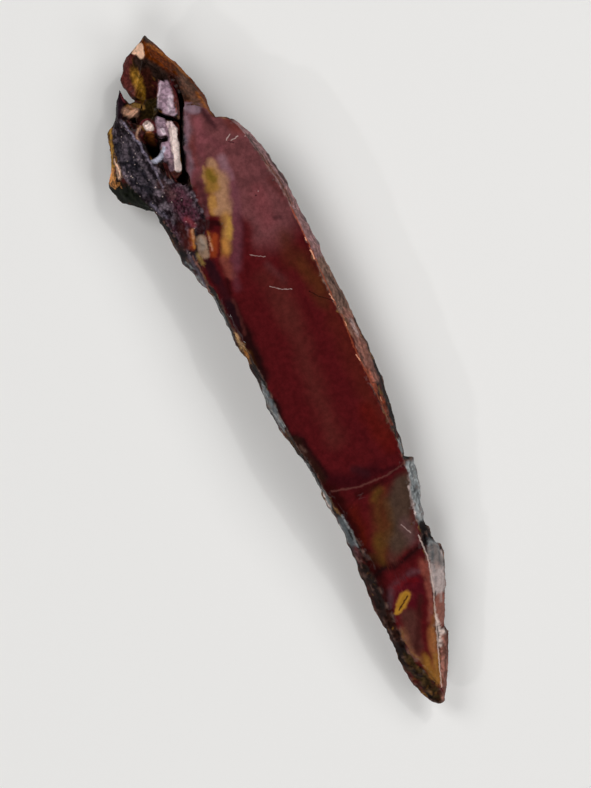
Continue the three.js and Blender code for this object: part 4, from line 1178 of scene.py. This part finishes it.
# Finish of the stone
def mark_group():
    """How strongly a colour mark covers a spot: 1 within its radius of a straight line, 0 past its fade."""
    tree = bpy.data.node_groups.new("colour mark", "ShaderNodeTree")
    for label, kind in (
        ("Place", "NodeSocketVector"),
        ("Start", "NodeSocketVector"),
        ("Run", "NodeSocketVector"),
        ("Radius", "NodeSocketFloat"),
        ("Fade", "NodeSocketFloat"),
    ):
        tree.interface.new_socket(label, in_out="INPUT", socket_type=kind)
    tree.interface.new_socket("Cover", in_out="OUTPUT", socket_type="NodeSocketFloat")
    given = tree.nodes.new("NodeGroupInput").outputs
    out = tree.nodes.new("NodeGroupOutput")
    desk = Desk(tree)
    away = desk.vector("SUBTRACT", given["Place"], given["Start"]).outputs[0]
    along = desk.vector("DOT_PRODUCT", away, given["Run"]).outputs["Value"]
    whole = desk.vector("DOT_PRODUCT", given["Run"], given["Run"]).outputs["Value"]
    share = desk.math("DIVIDE", along, whole, True)
    gap = desk.vector("DISTANCE", away, desk.scaled(given["Run"], share)).outputs["Value"]
    past = desk.math("SUBTRACT", gap, given["Radius"])
    desk.feed(out.inputs[0], desk.ramp(desk.math("DIVIDE", past, given["Fade"]), -0.5, 0.5, 1.0, 0.0))
    return tree


def paint_marks(desk, group, place, colour, colours, marks):
    """The colour with the marks painted over it, one after another."""
    for name, strength, radius, fade, points in on_stone(marks):
        covers = []
        for start, end in stretches(points):
            node = desk.add("ShaderNodeGroup", node_tree=group)
            run = (end[0] - start[0], end[1] - start[1], 0)
            for socket, value in (("Place", place), ("Start", (*start, 0)), ("Run", run)):
                desk.feed(node.inputs[socket], value)
            desk.feed(node.inputs["Radius"], radius)
            desk.feed(node.inputs["Fade"], fade)
            covers.append(node.outputs[0])
        cover = covers[0]
        for other in covers[1:]:
            cover = desk.math("MAXIMUM", cover, other)
        share = desk.math("MULTIPLY", cover, strength)
        colour = desk.mix(share, colour, (*getattr(colours, name), 1))
    return colour


def jasper_material(colours):
    """Wet polished-looking jasper."""
    material = bpy.data.materials.new("wet jasper")
    material.use_nodes = True
    tree = material.node_tree
    desk = Desk(tree)
    shader = tree.nodes["Principled BSDF"]
    raw = desk.add("ShaderNodeTexCoord").outputs["Object"]
    place = desk.scaled(raw, 1 / MM)
    ripple = desk.vector("SUBTRACT", desk.noise(place, 1.1, 2.0, 0.6).outputs["Color"], (0.5,) * 3).outputs[0]
    rippled = desk.vector("ADD", place, desk.scaled(ripple, 0.7)).outputs[0]
    near = desk.vector("MULTIPLY", rippled, (1, 1, 0)).outputs[0]
    on_face = desk.attribute("face")
    on_crust = desk.attribute("crust")
    fine = desk.noise(place, 1.4, 4.0, 0.65).outputs["Fac"]
    colour = desk.attribute("jasper colour", "Color")
    mottle = desk.ramp(desk.noise(place, 0.9, 5.0, 0.7).outputs["Fac"], 0.3, 0.7, 0.82, 1.18)
    colour = desk.mix(1.0, colour, mottle, "MULTIPLY")
    # Fine marks, among them the painted rim highlights, glints and shadows
    colour = paint_marks(desk, mark_group(), near, colour, colours, LINE_MARKS)
    desk.feed(shader.inputs["Base Color"], colour)
    desk.feed(shader.inputs["Roughness"], desk.ramp(fine, 0.3, 0.7, 0.1, 0.2))
    grain = desk.noise(place, 1.6, 5.0, 0.75).outputs["Fac"]
    height = desk.math("MULTIPLY", grain, desk.math("SUBTRACT", 1.0, desk.math("MULTIPLY", on_face, 0.9)))
    beads = desk.add("ShaderNodeTexVoronoi", {"Vector": place, "Scale": 1.5}).outputs["Distance"]
    height = desk.math("SUBTRACT", height, desk.math("MULTIPLY", beads, on_crust))
    bump = desk.add("ShaderNodeBump", {"Height": height, "Distance": 0.3 * MM, "Strength": 0.8})
    desk.feed(shader.inputs["Normal"], bump.outputs[0])
    desk.feed(shader.inputs["IOR"], 1.54)
    desk.feed(shader.inputs["Specular IOR Level"], 0.0)
    desk.feed(shader.inputs["Coat Weight"], 0.12)
    desk.feed(shader.inputs["Coat Roughness"], 0.03)
    return material


class JASPER_OT_stone(bpy.types.Operator):
    """Build the stone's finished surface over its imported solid"""

    bl_idname = "jasper.stone"
    bl_label = "Build stone"

    def execute(self, context):
        scene = context.scene
        material = jasper_material(scene.jasper_colours)
        piece = stone_piece(scene.jasper_shape, material)
        mark_surface(piece.data, scene.jasper_colours)
        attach(piece, "root")
        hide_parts("mookaite_stone")
        return {"FINISHED"}


# Stage
class JasperStage(bpy.types.PropertyGroup):
    """The floor, the lights and the camera."""

    floor: tone("Floor", "f2f1ef", "Colour of the plain floor")
    floor_size: length("Floor size", 6000, "Width of the floor")
    eye_height: length("Camera height", 524, "Height of the camera above the floor")
    lens: FloatProperty(name="Lens", description="Focal length in millimetres", default=100, min=1)
    turn: FloatProperty(
        name="Turn",
        description="How far the stone leans to the left in the picture",
        subtype="ANGLE",
        default=LEAN,
    )
    sky: FloatProperty(
        name="Sky",
        description="Brightness of the surroundings at the horizon",
        default=0.5,
        min=0,
    )


def softbox(name, bearing, rise, width, radiance):
    """A square soft lamp that faces the stone, placed by bearing from the craggy end and rise in degrees."""
    lamp = bpy.data.lights.new(name, "AREA")
    lamp.size = width
    lamp.energy = radiance * math.pi * width**2
    holder = bpy.data.objects.new(name, lamp)
    away, lift = math.cos(math.radians(rise)), math.sin(math.radians(rise))
    turn = math.radians(bearing)
    place = Vector((away * math.cos(turn), away * math.sin(turn), lift)) * LAMP_DISTANCE
    holder.location = place
    holder.rotation_euler = (-place).to_track_quat("-Z", "Y").to_euler()
    bpy.context.scene.collection.objects.link(holder)


class JASPER_OT_stage(bpy.types.Operator):
    """Lay out the floor, the lights and the camera that looks straight down"""

    bl_idname = "jasper.stage"
    bl_label = "Set stage"

    def execute(self, context):
        scene = context.scene
        stage = scene.jasper_stage
        mesh = bpy.data.meshes.new("floor")
        half = stage.floor_size / 2
        corners = [(-half, -half, 0), (half, -half, 0), (half, half, 0), (-half, half, 0)]
        mesh.from_pydata(corners, [], [(0, 1, 2, 3)])
        floor = bpy.data.objects.new("floor", mesh)
        scene.collection.objects.link(floor)
        paper = bpy.data.materials.new("plain paper")
        paper.use_nodes = True
        shader = paper.node_tree.nodes["Principled BSDF"]
        shader.inputs["Base Color"].default_value = (*stage.floor, 1)
        shader.inputs["Roughness"].default_value = 0.9
        shader.inputs["Specular IOR Level"].default_value = 0.0
        mesh.materials.append(paper)
        world = bpy.data.worlds.new("studio")
        scene.world = world
        world.use_nodes = True
        desk = Desk(world.node_tree)
        way = desk.add("ShaderNodeTexCoord").outputs["Generated"]
        height = desk.add("ShaderNodeSeparateXYZ", {0: way}).outputs["Z"]
        glow = desk.ramp(height, 0.2, 0.9, stage.sky, 0.03)
        desk.feed(world.node_tree.nodes["Background"].inputs["Strength"], glow)
        softbox("fore left softbox", 35, 48, 0.44, 4.4)
        softbox("back left softbox", 150, 48, 0.44, 4.2)
        softbox("right softbox", -75, 45, 0.44, 4.4)
        softbox("back right softbox", -135, 45, 0.44, 2.4)
        softbox("left sparkle", 100, 38, 0.03, 200.0)
        softbox("right sparkle", -60, 50, 0.03, 200.0)
        turn = stage.turn
        right = Vector((-math.sin(turn), -math.cos(turn), 0))
        top = Vector((math.cos(turn), -math.sin(turn), 0))
        camera = bpy.data.cameras.new("camera")
        camera.lens = stage.lens
        eye = bpy.data.objects.new("camera", camera)
        place = Vector((EYE_PLACE * MM, 0, stage.eye_height))
        facing = Matrix((right, top, right.cross(top))).transposed().to_4x4()
        eye.matrix_world = Matrix.Translation(place) @ facing
        scene.collection.objects.link(eye)
        scene.camera = eye
        scene.view_settings.view_transform = "Standard"
        return {"FINISHED"}


class JASPER_PT_panel(bpy.types.Panel):
    """Lists what this add-on builds"""

    bl_label = "Rough mookaite jasper"
    bl_idname = "JASPER_PT_panel"
    bl_space_type = "VIEW_3D"
    bl_region_type = "UI"
    bl_category = "Jasper"

    def draw(self, context):
        layout = self.layout
        for operator in (JASPER_OT_stone, JASPER_OT_stage):
            layout.operator(operator.bl_idname)
        for group in (context.scene.jasper_shape, context.scene.jasper_colours, context.scene.jasper_stage):
            box = layout.box()
            for name in group.bl_rna.properties.keys():
                if name not in ("rna_type", "name"):
                    box.prop(group, name)


CLASSES = (JasperShape, JasperColours, JasperStage, JASPER_OT_stone, JASPER_OT_stage, JASPER_PT_panel)


def register():
    for cls in CLASSES:
        bpy.utils.register_class(cls)
    bpy.types.Scene.jasper_shape = PointerProperty(type=JasperShape)
    bpy.types.Scene.jasper_colours = PointerProperty(type=JasperColours)
    bpy.types.Scene.jasper_stage = PointerProperty(type=JasperStage)


def unregister():
    del bpy.types.Scene.jasper_stage
    del bpy.types.Scene.jasper_colours
    del bpy.types.Scene.jasper_shape
    for cls in reversed(CLASSES):
        bpy.utils.unregister_class(cls)


def main():
    register()
    bpy.ops.jasper.stage()
    bpy.ops.jasper.stone()


if __name__ == "__main__":
    main()
